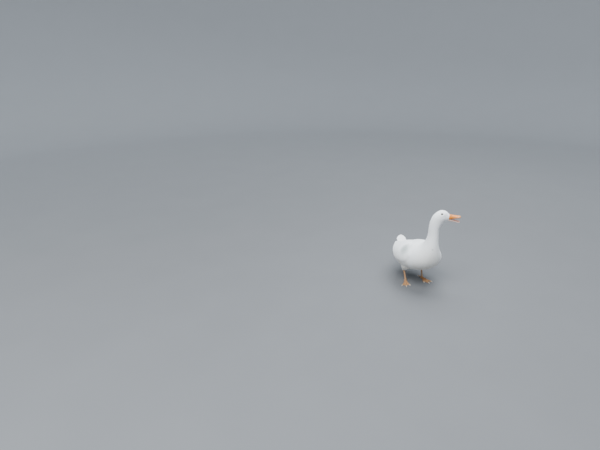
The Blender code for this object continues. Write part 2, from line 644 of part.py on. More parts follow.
def build_leg(word, leg, parts, cutters, mats):
    """Thigh, shank, foot and claws of one leg."""
    hip, hock, ankle = np.array(leg["hip"]), np.array(leg["hock"]), np.array([*leg["ankle"], SHANK_FOOT])
    t = np.linspace(0, 1, 8)
    line = hip + (hock - hip) * t[:, None]
    wide = 0.038 * (1 - t) ** 0.85 + 0.0080
    thigh = limb(f"thigh_{word}", line, np.stack([wide * 1.10, wide * 0.92], -1), 16, parts, mats["white"])
    join_up(thigh, [grown_trunk(cutters)], "DIFFERENCE")
    t = np.linspace(0, 1, 8)
    top = np.array([hock[0], hock[1], hock[2] - 0.0004])
    line = top + (ankle - top) * t[:, None]
    swell = 0.0041 + 0.0024 * np.exp(-(t / 0.22) ** 2) + 0.0012 * np.exp(-((1 - t) / 0.18) ** 2)
    limb(f"shank_{word}", line, np.stack([swell * 1.12, swell * 0.95], -1), 12, parts, mats["leg"])
    build_foot(word, leg, parts, mats)


def foot_sheet(leg):
    """Reach and direction of the foot over its columns: three toes and the webs between, inner toe first."""
    toe_at = np.array([-1.0, 0.0, 1.0])
    half = np.array([0.0, 0.08, 0.26, 0.50, 0.74, 0.92, 1.0, 1.07, 1.15])
    cols = np.concatenate([-half[:0:-1], half])
    reach = np.interp(cols, toe_at, TOE_LENGTH)
    near = np.min(np.abs(cols[:, None] - toe_at[None, :]), axis=1)
    web = np.clip((near - 0.10) / 0.40, 0, 1)
    reach = reach * (1 - 0.20 * np.sin(web * np.pi / 2)) - 0.0012 * np.minimum(near / 0.08, 1)
    reach = np.where(np.abs(cols) > 1.1, 0.88 * reach, reach)
    toe = np.exp(-(near / 0.085) ** 2)
    return cols, reach, toe, toe_yaw(leg, cols)


def toe_yaw(leg, col):
    """The way a toe points, in radians: column -1 is the inner toe, 0 the middle one and 1 the outer one."""
    return np.radians(leg["yaw"] + leg["side"] * TOE_SPREAD * col)


def build_foot(word, leg, parts, mats):
    """One foot: toes joined by webs, the middle of every toe flat on the floor, and its claws."""
    cols, reach, toe, angle = foot_sheet(leg)
    s = np.linspace(0, 1, 6)[:, None]
    ankle = leg["ankle"]
    start = 0.0062
    r = start + (reach[None, :] - start) * s
    x = ankle[0] + r * np.cos(angle)[None, :]
    y = ankle[1] + r * np.sin(angle)[None, :]
    knuckle = 1 + 0.22 * np.cos(s * 2 * np.pi * 3.0)
    top = WEB_THICK + 0.0050 * toe[None, :] * (1 - 0.45 * s) * knuckle + 0.0085 * (1 - s) ** 5
    sole = 0.0007 * (1 - np.clip(toe[None, :] * 2.2, 0, 1)) * np.ones_like(s)
    upper, lower = np.stack([x, y, top], -1), np.stack([x, y, sole], -1)
    foot = plate(f"foot_{word}", upper, lower, parts, mats["leg"])
    heel = ankle_mound(leg, parts)
    join_up(foot, [heel, hind_toe(leg, parts)])
    foot.data.materials.clear()
    foot.data.materials.append(mats["leg"])
    for name, col, length in zip(("inner", "middle", "outer"), (-1.0, 0.0, 1.0), TOE_LENGTH):
        yaw = float(toe_yaw(leg, col))
        root = (ankle[0] + (length + GAP) * math.cos(yaw), ankle[1] + (length + GAP) * math.sin(yaw), 0.0030)
        claw(f"claw_{word}_{name}", root, yaw, -24, 0.0021, 0.0095, parts, mats["claw"])
    yaw = hind_yaw(leg)
    root = (ankle[0] + 0.0219 * math.cos(yaw), ankle[1] + 0.0219 * math.sin(yaw), 0.0078)
    claw(f"claw_{word}_hind", root, yaw, -40, 0.0014, 0.006, parts, mats["claw"])


def hind_yaw(leg):
    """The way the hind toe points: back and a little inward."""
    return math.radians(leg["yaw"] + 180 + leg["side"] * 22)


def ankle_mound(leg, collection):
    """The joint over the root of the toes, flat on top under the shank."""
    b = np.linspace(0, 2 * np.pi, 13)[None, :-1]
    z = np.array([0.0, 0.0022, 0.0070, SHANK_FOOT - GAP])[:, None]
    radius = np.array([0.0070, 0.0094, 0.0086, 0.0058])[:, None]
    x, y = leg["ankle"]
    grid = np.stack([x + radius * np.cos(b), y + radius * np.sin(b), z + 0 * b], -1)
    return tube("mound", grid, collection)


def hind_toe(leg, collection):
    """The short hind toe, lifted off the floor."""
    yaw = hind_yaw(leg)
    b = np.linspace(0, 2 * np.pi, 8)[None, :-1]
    s = np.linspace(0, 1, 4)[:, None]
    r = 0.0025 + 0.019 * s
    radius = 0.0031 - 0.0012 * s
    middle = 0.0088 - 0.0010 * s
    across = radius * np.cos(b)
    x = leg["ankle"][0] + r * math.cos(yaw) - across * math.sin(yaw)
    y = leg["ankle"][1] + r * math.sin(yaw) + across * math.cos(yaw)
    return tube("hind", np.stack([x, y, middle + radius * np.sin(b)], -1), collection)


def claw(name, root, yaw, pitch, radius, length, parts, mat):
    """A short curved claw, a cone bent toward the floor and clear of it."""
    rows, cols = 5, 6
    s = np.linspace(0, 1, rows)[:, None]
    b = np.linspace(0, 2 * np.pi, cols + 1)[None, :-1]
    bend = np.radians(pitch) * s
    r = radius * (1 - 0.86 * s ** 1.4)
    along = length * s * np.cos(bend * 0.8) - r * np.sin(b) * np.sin(bend)
    up = length * s * np.sin(bend * 0.8) * 0.62 + r * np.sin(b) * np.cos(bend)
    up = np.maximum(up, 0.0003 - root[2] + 0.0001 * np.cos(b))
    across = r * np.cos(b)
    x = root[0] + along * math.cos(yaw) - across * math.sin(yaw)
    y = root[1] + along * math.sin(yaw) + across * math.cos(yaw)
    tube(name, np.stack([x, y, root[2] + up], -1), parts, mat)


def settle(parts):
    """The whole model moved so that the middle of its box stands over the origin with the soles at zero."""
    low, high = np.full(3, 1e9), np.full(3, -1e9)
    for obj in parts.objects:
        points = np.array([v.co[:] for v in obj.data.vertices])
        low, high = np.minimum(low, points.min(axis=0)), np.maximum(high, points.max(axis=0))
    shift = np.array([(low[0] + high[0]) / 2, (low[1] + high[1]) / 2, low[2]])
    for obj in parts.objects:
        for vert in obj.data.vertices:
            vert.co = np.array(vert.co[:]) - shift
        obj.data.update()


def smooth(parts):
    """Smooth shading on every part, since all of them are round."""
    for obj in parts.objects:
        obj.data.polygons.foreach_set("use_smooth", [True] * len(obj.data.polygons))


def main():
    """The scene is emptied, every part built, and the model settled on the floor."""
    for obj in list(bpy.data.objects):
        bpy.data.objects.remove(obj)
    parts = bpy.data.collections.new("pekin_duck")
    cutters = bpy.data.collections.new("cutters")
    bpy.context.scene.collection.children.link(parts)
    bpy.context.scene.collection.children.link(cutters)
    cutters.hide_render = True
    mats = {
        "white": look("plumage", (0.86, 0.86, 0.83), 0.85),
        "bill": look("bill", (0.80, 0.36, 0.10), 0.45),
        "bill_low": look("lower_bill", (0.82, 0.48, 0.28), 0.45),
        "tongue": look("tongue", (0.75, 0.38, 0.30), 0.4),
        "eye": look("eye", (0.02, 0.02, 0.03), 0.05),
        "leg": look("leg", (0.72, 0.34, 0.12), 0.5),
        "claw": look("claw", (0.80, 0.66, 0.50), 0.4),
    }
    skin_part("torso", 0.0, cut_u(NECK_RING, -1), 21, 34, parts, mats["white"])
    skin_part("neck", cut_u(NECK_RING, 1), cut_u(HEAD_RING, -1), 17, 26, parts, mats["white"])
    build_head(parts, cutters, mats)
    for word, side in (("right", -1), ("left", 1)):
        build_wing(word, side, parts, cutters, mats)
    build_tail(parts, cutters, mats)
    for word, leg in LEGS.items():
        build_leg(word, leg, parts, cutters, mats)
    settle(parts)
    smooth(parts)


main()
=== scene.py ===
# %% [markdown]
# # A white pekin duck, feather by feather
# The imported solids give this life-size duck its size and its pose. This script dresses them: one skin over
# all the flesh, thousands of feathers laid on it as solid mesh, and a finer bill, eyes, legs and feet.
# Nearly every piece is a surface worked out as whole arrays of points, so each shape is a formula to read.
# Lengths are in metres, and a tilt, a turn, a rise or a yaw in a table is in degrees.

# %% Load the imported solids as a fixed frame
import json
import math

import bpy
import numpy as np
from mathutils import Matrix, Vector

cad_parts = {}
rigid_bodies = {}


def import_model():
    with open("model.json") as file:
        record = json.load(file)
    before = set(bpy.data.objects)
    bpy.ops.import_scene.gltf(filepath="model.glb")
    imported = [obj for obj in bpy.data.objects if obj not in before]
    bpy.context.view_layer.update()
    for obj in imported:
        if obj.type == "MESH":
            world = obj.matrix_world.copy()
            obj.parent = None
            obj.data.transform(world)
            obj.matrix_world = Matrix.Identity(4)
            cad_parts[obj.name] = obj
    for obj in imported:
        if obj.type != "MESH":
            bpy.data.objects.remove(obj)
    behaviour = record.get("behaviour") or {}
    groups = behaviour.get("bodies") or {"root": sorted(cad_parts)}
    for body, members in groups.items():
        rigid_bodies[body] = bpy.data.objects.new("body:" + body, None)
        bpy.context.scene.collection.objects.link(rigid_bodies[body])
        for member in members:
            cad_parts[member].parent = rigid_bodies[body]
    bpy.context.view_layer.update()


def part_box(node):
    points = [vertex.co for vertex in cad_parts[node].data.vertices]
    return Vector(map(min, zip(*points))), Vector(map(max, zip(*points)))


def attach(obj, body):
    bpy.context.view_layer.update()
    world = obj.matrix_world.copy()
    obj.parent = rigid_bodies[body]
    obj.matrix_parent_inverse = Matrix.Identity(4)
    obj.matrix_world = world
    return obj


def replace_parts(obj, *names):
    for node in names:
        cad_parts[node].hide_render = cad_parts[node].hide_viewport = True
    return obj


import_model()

# %% [markdown]
# ## A few curves to build with
# Most shapes below are sums of simple curves: a straight step, a soft step and a bell. They are named once,
# with the two kinds of grid line, so that a longer formula can be read as a sentence.

# %% Steps, bells and grid lines
SIDES = (("right", -1), ("left", 1))


def spread(*values):
    """The values as arrays stretched to one shape."""
    return np.broadcast_arrays(*(np.asarray(value, float) for value in values))


def points_of(x, y, z):
    """Points from three coordinates, stretched to one shape."""
    return np.stack(np.broadcast_arrays(x, y, z), axis=-1)


def unit(vectors):
    """The vectors at length one."""
    return vectors / np.linalg.norm(vectors, axis=-1, keepdims=True)


def ramp(x, low, high):
    """A straight step from 0 at low to 1 at high."""
    return np.clip((x - low) / (high - low), 0, 1)


def smooth(x, low, high):
    """A soft step from 0 at low to 1 at high: three squares of the straight one less two cubes."""
    t = ramp(x, low, high)
    return t * t * (3 - 2 * t)


def bell(x, middle, reach):
    """The bell curve: 1 at its middle and about a third of that one reach away."""
    return np.exp(-((x - middle) / reach) ** 2)


def shares(count):
    """Shares from 0 to 1 down a column, for the way along a piece."""
    return np.linspace(0, 1, count)[:, None]


def circle(count):
    """Angles once round along a row, for the way round a piece."""
    return np.linspace(0, 2 * np.pi, count + 1)[None, :-1]


# %% [markdown]
# ## The body as rings
# Trunk, neck and head of a bird are one smooth sack of skin. It is described here by sixteen rings along its
# middle line, each with a height, a tilt, a depth and a width, and a smooth curve is read through them.
# The same rings shape the solids, so what is laid on this skin meets them without any fitting.

# %% Driving sizes of the bird
TRUNK_DEPTH, TRUNK_WIDTH = 0.148, 0.208
NECK_THICK = 0.055
HEAD_DEPTH, HEAD_WIDTH = 0.061, 0.057
HEAD_TURN, PIVOT_X = 60.0, 0.120
WIDEST_POWER = 0.92
BILL_X, BILL_Z = 0.1812, 0.4270
BILL_LENGTH, BILL_WIDTH = 0.060, 0.0285
UPPER_RISE, LOWER_DROP = 12.0, 11.0
EYE_X, EYE_Y, EYE_Z, EYE_RADIUS = 0.1490, 0.0198, 0.4420, 0.0062

# x, z, tilt, depth, width, share of the depth under the widest point, turn, lean
RINGS = np.array([
    (-0.174, 0.141, 16, 0.36 * TRUNK_DEPTH, 0.42 * TRUNK_WIDTH, 0.50, 0, 0),
    (-0.148, 0.1365, 19, 0.60 * TRUNK_DEPTH, 0.65 * TRUNK_WIDTH, 0.50, 0, 0),
    (-0.108, 0.136, 20, 0.79 * TRUNK_DEPTH, 0.86 * TRUNK_WIDTH, 0.48, 0, 0),
    (-0.050, 0.1430, 20, 1.02 * TRUNK_DEPTH, 0.98 * TRUNK_WIDTH, 0.47, 0, 0),
    (0.010, 0.163, 23, 1.04 * TRUNK_DEPTH, 1.00 * TRUNK_WIDTH, 0.46, 0, 0),
    (0.058, 0.185, 32, 1.03 * TRUNK_DEPTH, 0.90 * TRUNK_WIDTH, 0.43, 0, 0),
    (0.092, 0.212, 47, 2.42 * NECK_THICK, 2.70 * NECK_THICK, 0.42, 2, 0.001),
    (0.111, 0.244, 62, 1.78 * NECK_THICK, 1.80 * NECK_THICK, 0.45, 8, 0.002),
    (0.118, 0.282, 76, 1.20 * NECK_THICK, 1.18 * NECK_THICK, 0.50, 20, 0.004),
    (0.119, 0.322, 86, 0.95 * NECK_THICK, 0.93 * NECK_THICK, 0.50, 36, 0.006),
    (0.119, 0.360, 84, 0.95 * NECK_THICK, 0.94 * NECK_THICK, 0.50, 50, 0.007),
    (0.126, 0.392, 68, 0.95 * HEAD_DEPTH, 0.96 * HEAD_WIDTH, 0.52, 57, 0.007),
    (0.140, 0.416, 40, 1.01 * HEAD_DEPTH, 1.01 * HEAD_WIDTH, 0.55, 60, 0.006),
    (0.156, 0.427, 12, 0.95 * HEAD_DEPTH, 0.97 * HEAD_WIDTH, 0.55, 60, 0.006),
    (0.170, 0.4275, 0, 0.77 * HEAD_DEPTH, 0.76 * HEAD_WIDTH, 0.52, 60, 0.006),
    (0.180, 0.4245, -4, 0.57 * HEAD_DEPTH, 0.56 * HEAD_WIDTH, 0.50, 60, 0.006),
], float)
steps = np.linalg.norm(np.diff(RINGS[:, 0:2], axis=0), axis=1)
KNOTS = np.concatenate([[0.0], np.cumsum(steps)]) / steps.sum()
print("the middle line is", round(float(steps.sum()), 3), "m long")


# %% Read a smooth curve through values at knots
def spline(t, knots, values):
    """A natural cubic spline: cubic pieces whose second derivatives agree at the knots and vanish at the ends."""
    n, h = len(knots), np.diff(knots)
    a, b = np.zeros((n, n)), np.zeros((n, values.shape[1]))
    a[0, 0] = a[-1, -1] = 1.0
    for i in range(1, n - 1):
        a[i, i - 1], a[i, i], a[i, i + 1] = h[i - 1], 2 * (h[i - 1] + h[i]), h[i]
        b[i] = 6 * ((values[i + 1] - values[i]) / h[i] - (values[i] - values[i - 1]) / h[i - 1])
    m = np.linalg.solve(a, b)
    i = np.clip(np.searchsorted(knots, t, side="right") - 1, 0, n - 2)
    step = h[i][..., None]
    p = (knots[i + 1] - t)[..., None] / step
    q = (t - knots[i])[..., None] / step
    return p * values[i] + q * values[i + 1] + ((p ** 3 - p) * m[i] + (q ** 3 - q) * m[i + 1]) * step ** 2 / 6


def at_ring(number):
    """The place along the skin, 0 at the rump to 1 at the bill, of a ring by its number, fractions allowed."""
    return np.interp(number, np.arange(len(KNOTS)), KNOTS)


# %% The skin as a function of two parameters
def turned(points, turn, lean):
    """Points turned about the upright axis of the neck by an angle in degrees, then moved aside by the lean."""
    c, s = np.cos(np.radians(turn)), np.sin(np.radians(turn))
    dx, y = points[..., 0] - PIVOT_X, points[..., 1]
    return points_of(PIVOT_X + c * dx - s * y, lean + s * dx + c * y, points[..., 2])


eye_box = [np.array(corner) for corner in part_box("eye_right")]
eye_drawn = turned(np.array([EYE_X, -EYE_Y, EYE_Z]), HEAD_TURN, RINGS[-1, 7])
OFFSET = (eye_box[0] + eye_box[1]) / 2 - eye_drawn
OFFSET[2] = 0.0
print("the drawing is moved by", OFFSET.round(4), "to stand where the solids stand")


def on_head(points):
    """Points given for a head that looks straight ahead, carried to where this head looks."""
    return turned(np.asarray(points, float), HEAD_TURN, RINGS[-1, 7]) + OFFSET


def ring_shape(v):
    """Height and width of a ring of size one: minus the cosine of v, 0 at the belly, and its sine to a power."""
    up, side = -np.cos(2 * np.pi * v), np.sin(2 * np.pi * v)
    return up, np.sign(side) * np.abs(side) ** WIDEST_POWER


def skin(u, v):
    """The ring at u, its widest point moved up or down, tilted in the side view and turned with the neck."""
    u, v = spread(u, v)
    x, z, tilt, depth, width, widest, turn, lean = np.moveaxis(spline(u, KNOTS, RINGS), -1, 0)
    up, side = ring_shape(v)
    tilt = np.radians(tilt)
    rise = depth * (np.where(up > 0, 1 - widest, widest) * up + widest - 0.5)
    flat = points_of(x - rise * np.sin(tilt), -width / 2 * side, z + rise * np.cos(tilt))
    return turned(flat, turn, lean) + OFFSET


# %% [markdown]
# ## Heights over a surface
# Feathers are laid out on a surface in its own two parameters and lifted off it by a height, so none can cut
# through the body, however it curves. A few soft swellings give the face its cheeks and its brow.

# %% Lift points off any surface
def raised(shape, p, q, height):
    """Points over a surface: the surface's point plus the height times the cross product of its two directions."""
    e = 1e-4
    p, q, height = spread(p, q, height)
    first = shape(p + e, q) - shape(p - e, q)
    second = shape(p, q + e) - shape(p, q - e)
    return shape(p, q) + unit(np.cross(first, second)) * height[..., None]


def over(shape):
    """A surface of two parameters made into one of two parameters and a height."""
    return lambda p, q, height: raised(shape, p, q, height)


# %% Swellings of the face
EYES = {word: on_head((EYE_X, side * EYE_Y, EYE_Z)) for word, side in SIDES}
CHEEKS = [on_head((0.146, side * 0.025, 0.420)) for side in (-1, 1)]
LORES = [on_head((0.170, side * 0.019, 0.434)) for side in (-1, 1)]


def away(points, centre):
    """How far points are from a centre."""
    return np.linalg.norm(points - centre, axis=-1)


def relief(points):
    """Bells of the distance from a few places: full cheeks, hollow lores, a brow ring round a sunk eye."""
    total = np.zeros(points.shape[:-1])
    for cheek, lore in zip(CHEEKS, LORES):
        total += 0.0016 * bell(away(points, cheek), 0, 0.014) - 0.0012 * bell(away(points, lore), 0, 0.007)
    for eye in EYES.values():
        total += 0.0010 * bell(away(points, eye), 0.0110, 0.0030) - 0.0009 * bell(away(points, eye), 0, 0.0075)
    return total


# %% Close the body behind with the rump
TAIL_RISE, TAIL_PIVOT, TAIL_SHEET = 17.0, 0.0345, 0.0200
TAIL_CORE, TAIL_WAG, TAIL_LENGTH, TAIL_ROOF = 0.016, 0.22, 0.059, 0.20
TAIL_BEND = 0.72
RUMP_TILT = math.radians(RINGS[0, 2])
HINGE_X = RINGS[0, 0] - math.sin(RUMP_TILT) * TAIL_PIVOT
HINGE_Z = RINGS[0, 1] + math.cos(RUMP_TILT) * TAIL_PIVOT
U_TAIL, U_FACE = -0.09, 1.03


def tail_root(s, v):
    """The rump swung up about a hinge over it: each ring flattens and narrows as it turns."""
    up, side = ring_shape(v)
    swing, flat, beyond = ramp(s, 0, TAIL_BEND), smooth(s, 0, TAIL_BEND), ramp(s, TAIL_BEND, 1)
    rise = RINGS[0, 3] / 2 * up * (1 - 0.74 * flat) * (1 - 0.76 * beyond) + TAIL_SHEET * flat
    width = RINGS[0, 4] / 2 * side * (1 - 0.42 * flat) * np.sqrt(1 - 0.90 * beyond ** 2)
    rise = rise - TAIL_ROOF * np.abs(width) * flat
    angle = np.radians((TAIL_RISE + RINGS[0, 2]) * swing) - RUMP_TILT
    out, push = rise - TAIL_PIVOT, np.maximum((s - TAIL_BEND) / (1 - TAIL_BEND), 0) * TAIL_CORE
    x = HINGE_X + out * np.sin(angle) - push * np.cos(angle)
    z = HINGE_Z + out * np.cos(angle) + push * np.sin(angle)
    return points_of(x, TAIL_WAG * push - width, z) + OFFSET


# %% Close it in front with a soft edge round the bill
FACE_SHRINK, FACE_SWELL, FACE_TURN = 0.42, 0.0042, 0.85


def whole(u, v):
    """The skin from 0 to 1; below 0 the rump, swung up to the tail; above 1 it swells forward by a sine of the way
    and shrinks by its square, so the face runs out over the root of the bill and turns in behind it."""
    u, v = spread(u, v)
    points = skin(np.clip(u, 0, 1), v)
    behind, before = u < 0, u > 1
    if behind.any():
        points[behind] = tail_root(u[behind] / U_TAIL, v[behind])
    if before.any():
        way = (u[before] - 1)[..., None] / (U_FACE - 1)
        middle = (skin(1.0, 0.0) + skin(1.0, 0.5)) / 2
        ahead = unit(middle - (skin(0.985, 0.0) + skin(0.985, 0.5)) / 2)
        swell = FACE_SWELL * np.sin(way * FACE_TURN * np.pi) * ahead
        points[before] = middle + (points[before] - middle) * (1 - FACE_SHRINK * way ** 2) + swell
    return points


def body(u, v, height):
    """The whole body lifted by a height and, on the face, by the relief."""
    u, v = spread(u, v)
    return raised(whole, u, v, height + relief(skin(np.clip(u, 0, 1), v)) * ramp(u, 0.80, 0.86))


# %% [markdown]
# ## Making a mesh from arrays
# Blender takes whole arrays at once, which is thousands of times faster than adding faces one by one.
# Every closed shape is checked by its signed volume, so its faces look outward.

# %% Check which way faces look, and keep the rims of thin blades sharp
def signed_volume(points, faces):
    """The sum of the tetrahedra from the middle to each triangle; negative where the faces look inward."""
    p = points - points.mean(axis=0)
    total = 0.0
    for f in faces:
        for k in range(1, f.shape[1] - 1):
            total += np.einsum("ij,ij->", p[f[:, 0]], np.cross(p[f[:, k]], p[f[:, k + 1]]))
    return total / 6


def sharp_rims(mesh, rows, ring):
    """Edges of thin blades kept sharp, so that each side is shaded by its own faces: an edge is one of them where
    it runs along the first or last column of a side, or across the first or last row."""
    ends = np.empty(len(mesh.edges) * 2, np.int32)
    mesh.edges.foreach_get("vertices", ends)
    row, col = np.divmod(ends.reshape(-1, 2) % (rows * ring), ring)
    rim = np.isin(col[:, 0], (0, ring // 2 - 1, ring // 2, ring - 1)) & (col[:, 0] == col[:, 1])
    tip = np.isin(row[:, 0], (0, rows - 1)) & (row[:, 0] == row[:, 1])
    layer = mesh.attributes.new("sharp_edge", "BOOLEAN", "EDGE")
    layer.data.foreach_set("value", rim | tip)


# %% Put arrays into a mesh object
TALLY = {}


def piece(name, points, faces, material, maps=None, marks=None, slot=None, blade=None):
    """An object that rides on the still body, from points and arrays of faces, with maps and marks by point."""
    points = np.asarray(points, float).reshape(-1, 3)
    if signed_volume(points, faces) < 0:
        faces = [f[:, ::-1] for f in faces]
    loops = np.concatenate([f.ravel() for f in faces])
    sizes = np.concatenate([np.full(len(f), f.shape[1]) for f in faces])
    mesh = bpy.data.meshes.new(name)
    mesh.vertices.add(len(points))
    mesh.vertices.foreach_set("co", points.astype(np.float32).ravel())
    mesh.loops.add(len(loops))
    mesh.loops.foreach_set("vertex_index", loops.astype(np.int32))
    mesh.polygons.add(len(sizes))
    mesh.polygons.foreach_set("loop_start", np.concatenate([[0], np.cumsum(sizes)[:-1]]).astype(np.int32))
    mesh.update(calc_edges=True)
    mesh.polygons.foreach_set("use_smooth", np.ones(len(sizes), bool))
    for word, values in (maps or {}).items():
        layer = mesh.uv_layers.new(name=word)
        layer.data.foreach_set("uv", values.reshape(-1, 2)[loops].astype(np.float32).ravel())
    for word, values in (marks or {}).items():
        layer = mesh.attributes.new(word, "FLOAT", "POINT")
        layer.data.foreach_set("value", values.astype(np.float32).ravel())
    if blade:
        sharp_rims(mesh, *blade)
    mesh.validate()
    mesh.materials.append(material)
    obj = bpy.data.objects.new(name, mesh)
    bpy.context.scene.collection.objects.link(obj)
    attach(obj, "root")
    TALLY[name] = int((sizes - 2).sum())
    print(f"{name}: {TALLY[name]} triangles")
    return obj


# %% Faces of tubes, blades and plates
def ring_faces(rows, ring):
    """Quads between rings of points that follow one another."""
    i, j = np.arange(rows - 1)[:, None] * ring, np.arange(ring)[None, :]
    k = (j + 1) % ring
    return np.stack([i + j, i + k, i + ring + k, i + ring + j], -1).reshape(-1, 4)


def tube(name, grid, material, marks=None, **more):
    """A closed tube through a grid of points, rows along and columns round: quads between its rings, and at each
    end a fan about the middle of the last ring. A mark of a middle is that of its ring's first point."""
    rows, ring = grid.shape[:2]
    j = np.arange(ring)
    k, hub = (j + 1) % ring, np.full(ring, rows * ring)
    last = (rows - 1) * ring
    fans = np.concatenate([np.stack([k, j, hub], -1), np.stack([last + j, last + k, hub + 1], -1)])
    points = np.concatenate([grid.reshape(-1, 3), grid[:1].mean(axis=1), grid[-1:].mean(axis=1)])
    marks = {word: np.concatenate([m.ravel(), m[0, :1], m[-1, :1]]) for word, m in (marks or {}).items()}
    return piece(name, points, [ring_faces(rows, ring), fans], material, marks=marks, **more)


def blade_faces(rows, ring):
    """Quads of a flat tube, and strips that close its two ends from the upper to the lower side."""
    a = np.arange(ring // 2 - 1)
    start = np.stack([a + 1, a, ring - 1 - a, ring - 2 - a], -1)
    return np.concatenate([ring_faces(rows, ring), start, start[:, ::-1] + (rows - 1) * ring])


def plate(name, upper, lower, material, **more):
    """A closed plate between two grids of points laid out alike."""
    grid = np.concatenate([upper, lower[:, ::-1]], axis=1)
    return piece(name, grid, [blade_faces(*grid.shape[:2])], material, **more)


def many(faces, count, points_each):
    """The same faces for many copies that follow one another in one array of points."""
    return (faces[None] + (np.arange(count) * points_each)[:, None, None]).reshape(-1, faces.shape[1])


# %% [markdown]
# ## White plumage
# A white duck is not one white. The back is clean and cool; the lower breast and belly turn cream toward the bottom,
# partly stained and partly painted shade of the underside, and there is a soft grey shade behind the wing. The same
# marks are painted on the skin and on every feather from the place in space, and each vane adds its own shaft and
# fine barbs from its own map.

# %% Short calls for the nodes of a finish
class Finish:
    """A material with its Principled shader. Values that are the same all over are set on the shader's sockets."""

    def __init__(self, name, roughness, **sockets):
        self.material = bpy.data.materials.new(name)
        self.material.use_nodes = True
        self.shader = self.material.node_tree.nodes["Principled BSDF"]
        for word, value in (("Roughness", roughness), *sockets.items()):
            self.shader.inputs[word.replace("_", " ")].default_value = value

    def put(self, socket, value):
        """A socket linked to another node's output, or set to a value."""
        if hasattr(value, "is_output"):
            self.material.node_tree.links.new(value, socket)
        else:
            socket.default_value = value

    def new(self, kind, inputs=None, **settings):
        """A node of one kind with its settings, and its inputs by name or number."""
        node = self.material.node_tree.nodes.new(kind)
        for word, value in settings.items():
            setattr(node, word, value)
        for key, value in (inputs or {}).items():
            self.put(node.inputs[key], value)
        return node

    def math(self, operation, a, b=0.0, c=0.0, clamp=False):
        """One step of arithmetic with up to three values."""
        return self.new("ShaderNodeMath", {0: a, 1: b, 2: c}, operation=operation, use_clamp=clamp).outputs[0]

    def times(self, a, b, clamp=False):
        """A product."""
        return self.math("MULTIPLY", a, b, clamp=clamp)

    def plus(self, a, b, clamp=False):
        """A sum."""
        return self.math("ADD", a, b, clamp=clamp)

    def place(self):
        """The place in space."""
        return self.new("ShaderNodeTexCoord").outputs["Object"]

    def parts(self, vector):
        """The three numbers of a place or a map."""
        return self.new("ShaderNodeSeparateXYZ", {0: vector}).outputs

    def mark(self, word):
        """A mark that the mesh carries by point."""
        return self.new("ShaderNodeAttribute", attribute_name=word).outputs["Fac"]

    def noise(self, scale, detail=3.0, roughness=0.5):
        """Cloudy blotches of the place in space."""
        inputs = {"Vector": self.place(), "Scale": scale, "Detail": detail, "Roughness": roughness}
        return self.new("ShaderNodeTexNoise", inputs).outputs["Fac"]

    def cells(self, scale):
        """How far a place is from the edge of its cell."""
        inputs = {"Vector": self.place(), "Scale": scale}
        return self.new("ShaderNodeTexVoronoi", inputs, feature="DISTANCE_TO_EDGE").outputs["Distance"]

    def span(self, value, low, high, to_low=0.0, to_high=1.0):
        """A soft step of a value."""
        inputs = dict(enumerate((value, low, high, to_low, to_high)))
        return self.new("ShaderNodeMapRange", inputs, interpolation_type="SMOOTHSTEP").outputs[0]

    def near(self, centre, inner, outer):
        """One within an inner distance of a point in space, fading to nothing at the outer distance."""
        gap = self.new("ShaderNodeVectorMath", {0: self.place(), 1: tuple(centre)}, operation="DISTANCE")
        return self.span(gap.outputs["Value"], inner, outer, 1.0, 0.0)

    def mix(self, factor, a, b):
        """One colour turned into another by a factor."""
        a, b = (colour if hasattr(colour, "is_output") else (*colour, 1.0) for colour in (a, b))
        return self.new("ShaderNodeMix", {"Factor": factor, 6: a, 7: b}, data_type="RGBA").outputs[2]

    def done(self, colour, height=None, distance=0.0, strength=0.5):
        """The colour and the bump of a height are handed to the shader, and the material is ready."""
        self.put(self.shader.inputs["Base Color"], colour)
        if height is not None:
            bump = self.new("ShaderNodeBump", {"Height": height, "Distance": distance, "Strength": strength})
            self.put(self.shader.inputs["Normal"], bump.outputs[0])
        return self.material


# %% Colours and places of the markings
WHITE = (0.90, 0.905, 0.90)
CREAM = (0.66, 0.59, 0.46)
GREY_SHADE = (0.35, 0.40, 0.38)
SPOT = (0.42, 0.42, 0.42)
SHAFT = (0.93, 0.90, 0.82)
BREAST_LOW = body(at_ring(6.2), 0.02, 0.0)
SPOT_PLACE = body(at_ring(7.58), 0.084, 0.0)
SHADE_PLACES = [body(at_ring(4.5), v, 0.006) for v in (0.345, 0.655)]


def plumage_colour(finish):
    """White, turned to cream low on the breast and belly in soft blotches, partly stained and partly painted shade of
    the underside, with a grey shade behind the wing.
    """
    # painted shade of the underside, partly a stained tint: cream grows toward the bottom of the body and on the
    # front of the lower breast
    low = finish.span(finish.parts(finish.place())[2], 0.205, 0.085)
    stain_and_shade = finish.times(low, finish.span(finish.noise(28.0, 4.0, 0.6), 0.25, 0.70), clamp=True)
    front = finish.near(BREAST_LOW, 0.02, 0.12)
    stain_and_shade = finish.plus(finish.times(stain_and_shade, 0.75), finish.times(front, 0.28), clamp=True)
    colour = finish.mix(stain_and_shade, WHITE, CREAM)
    for place in SHADE_PLACES:
        colour = finish.mix(finish.times(finish.near(place, 0.006, 0.050), 0.95), colour, GREY_SHADE)
    return finish.mix(finish.times(finish.near(SPOT_PLACE, 0.001, 0.008), 0.60), colour, SPOT)


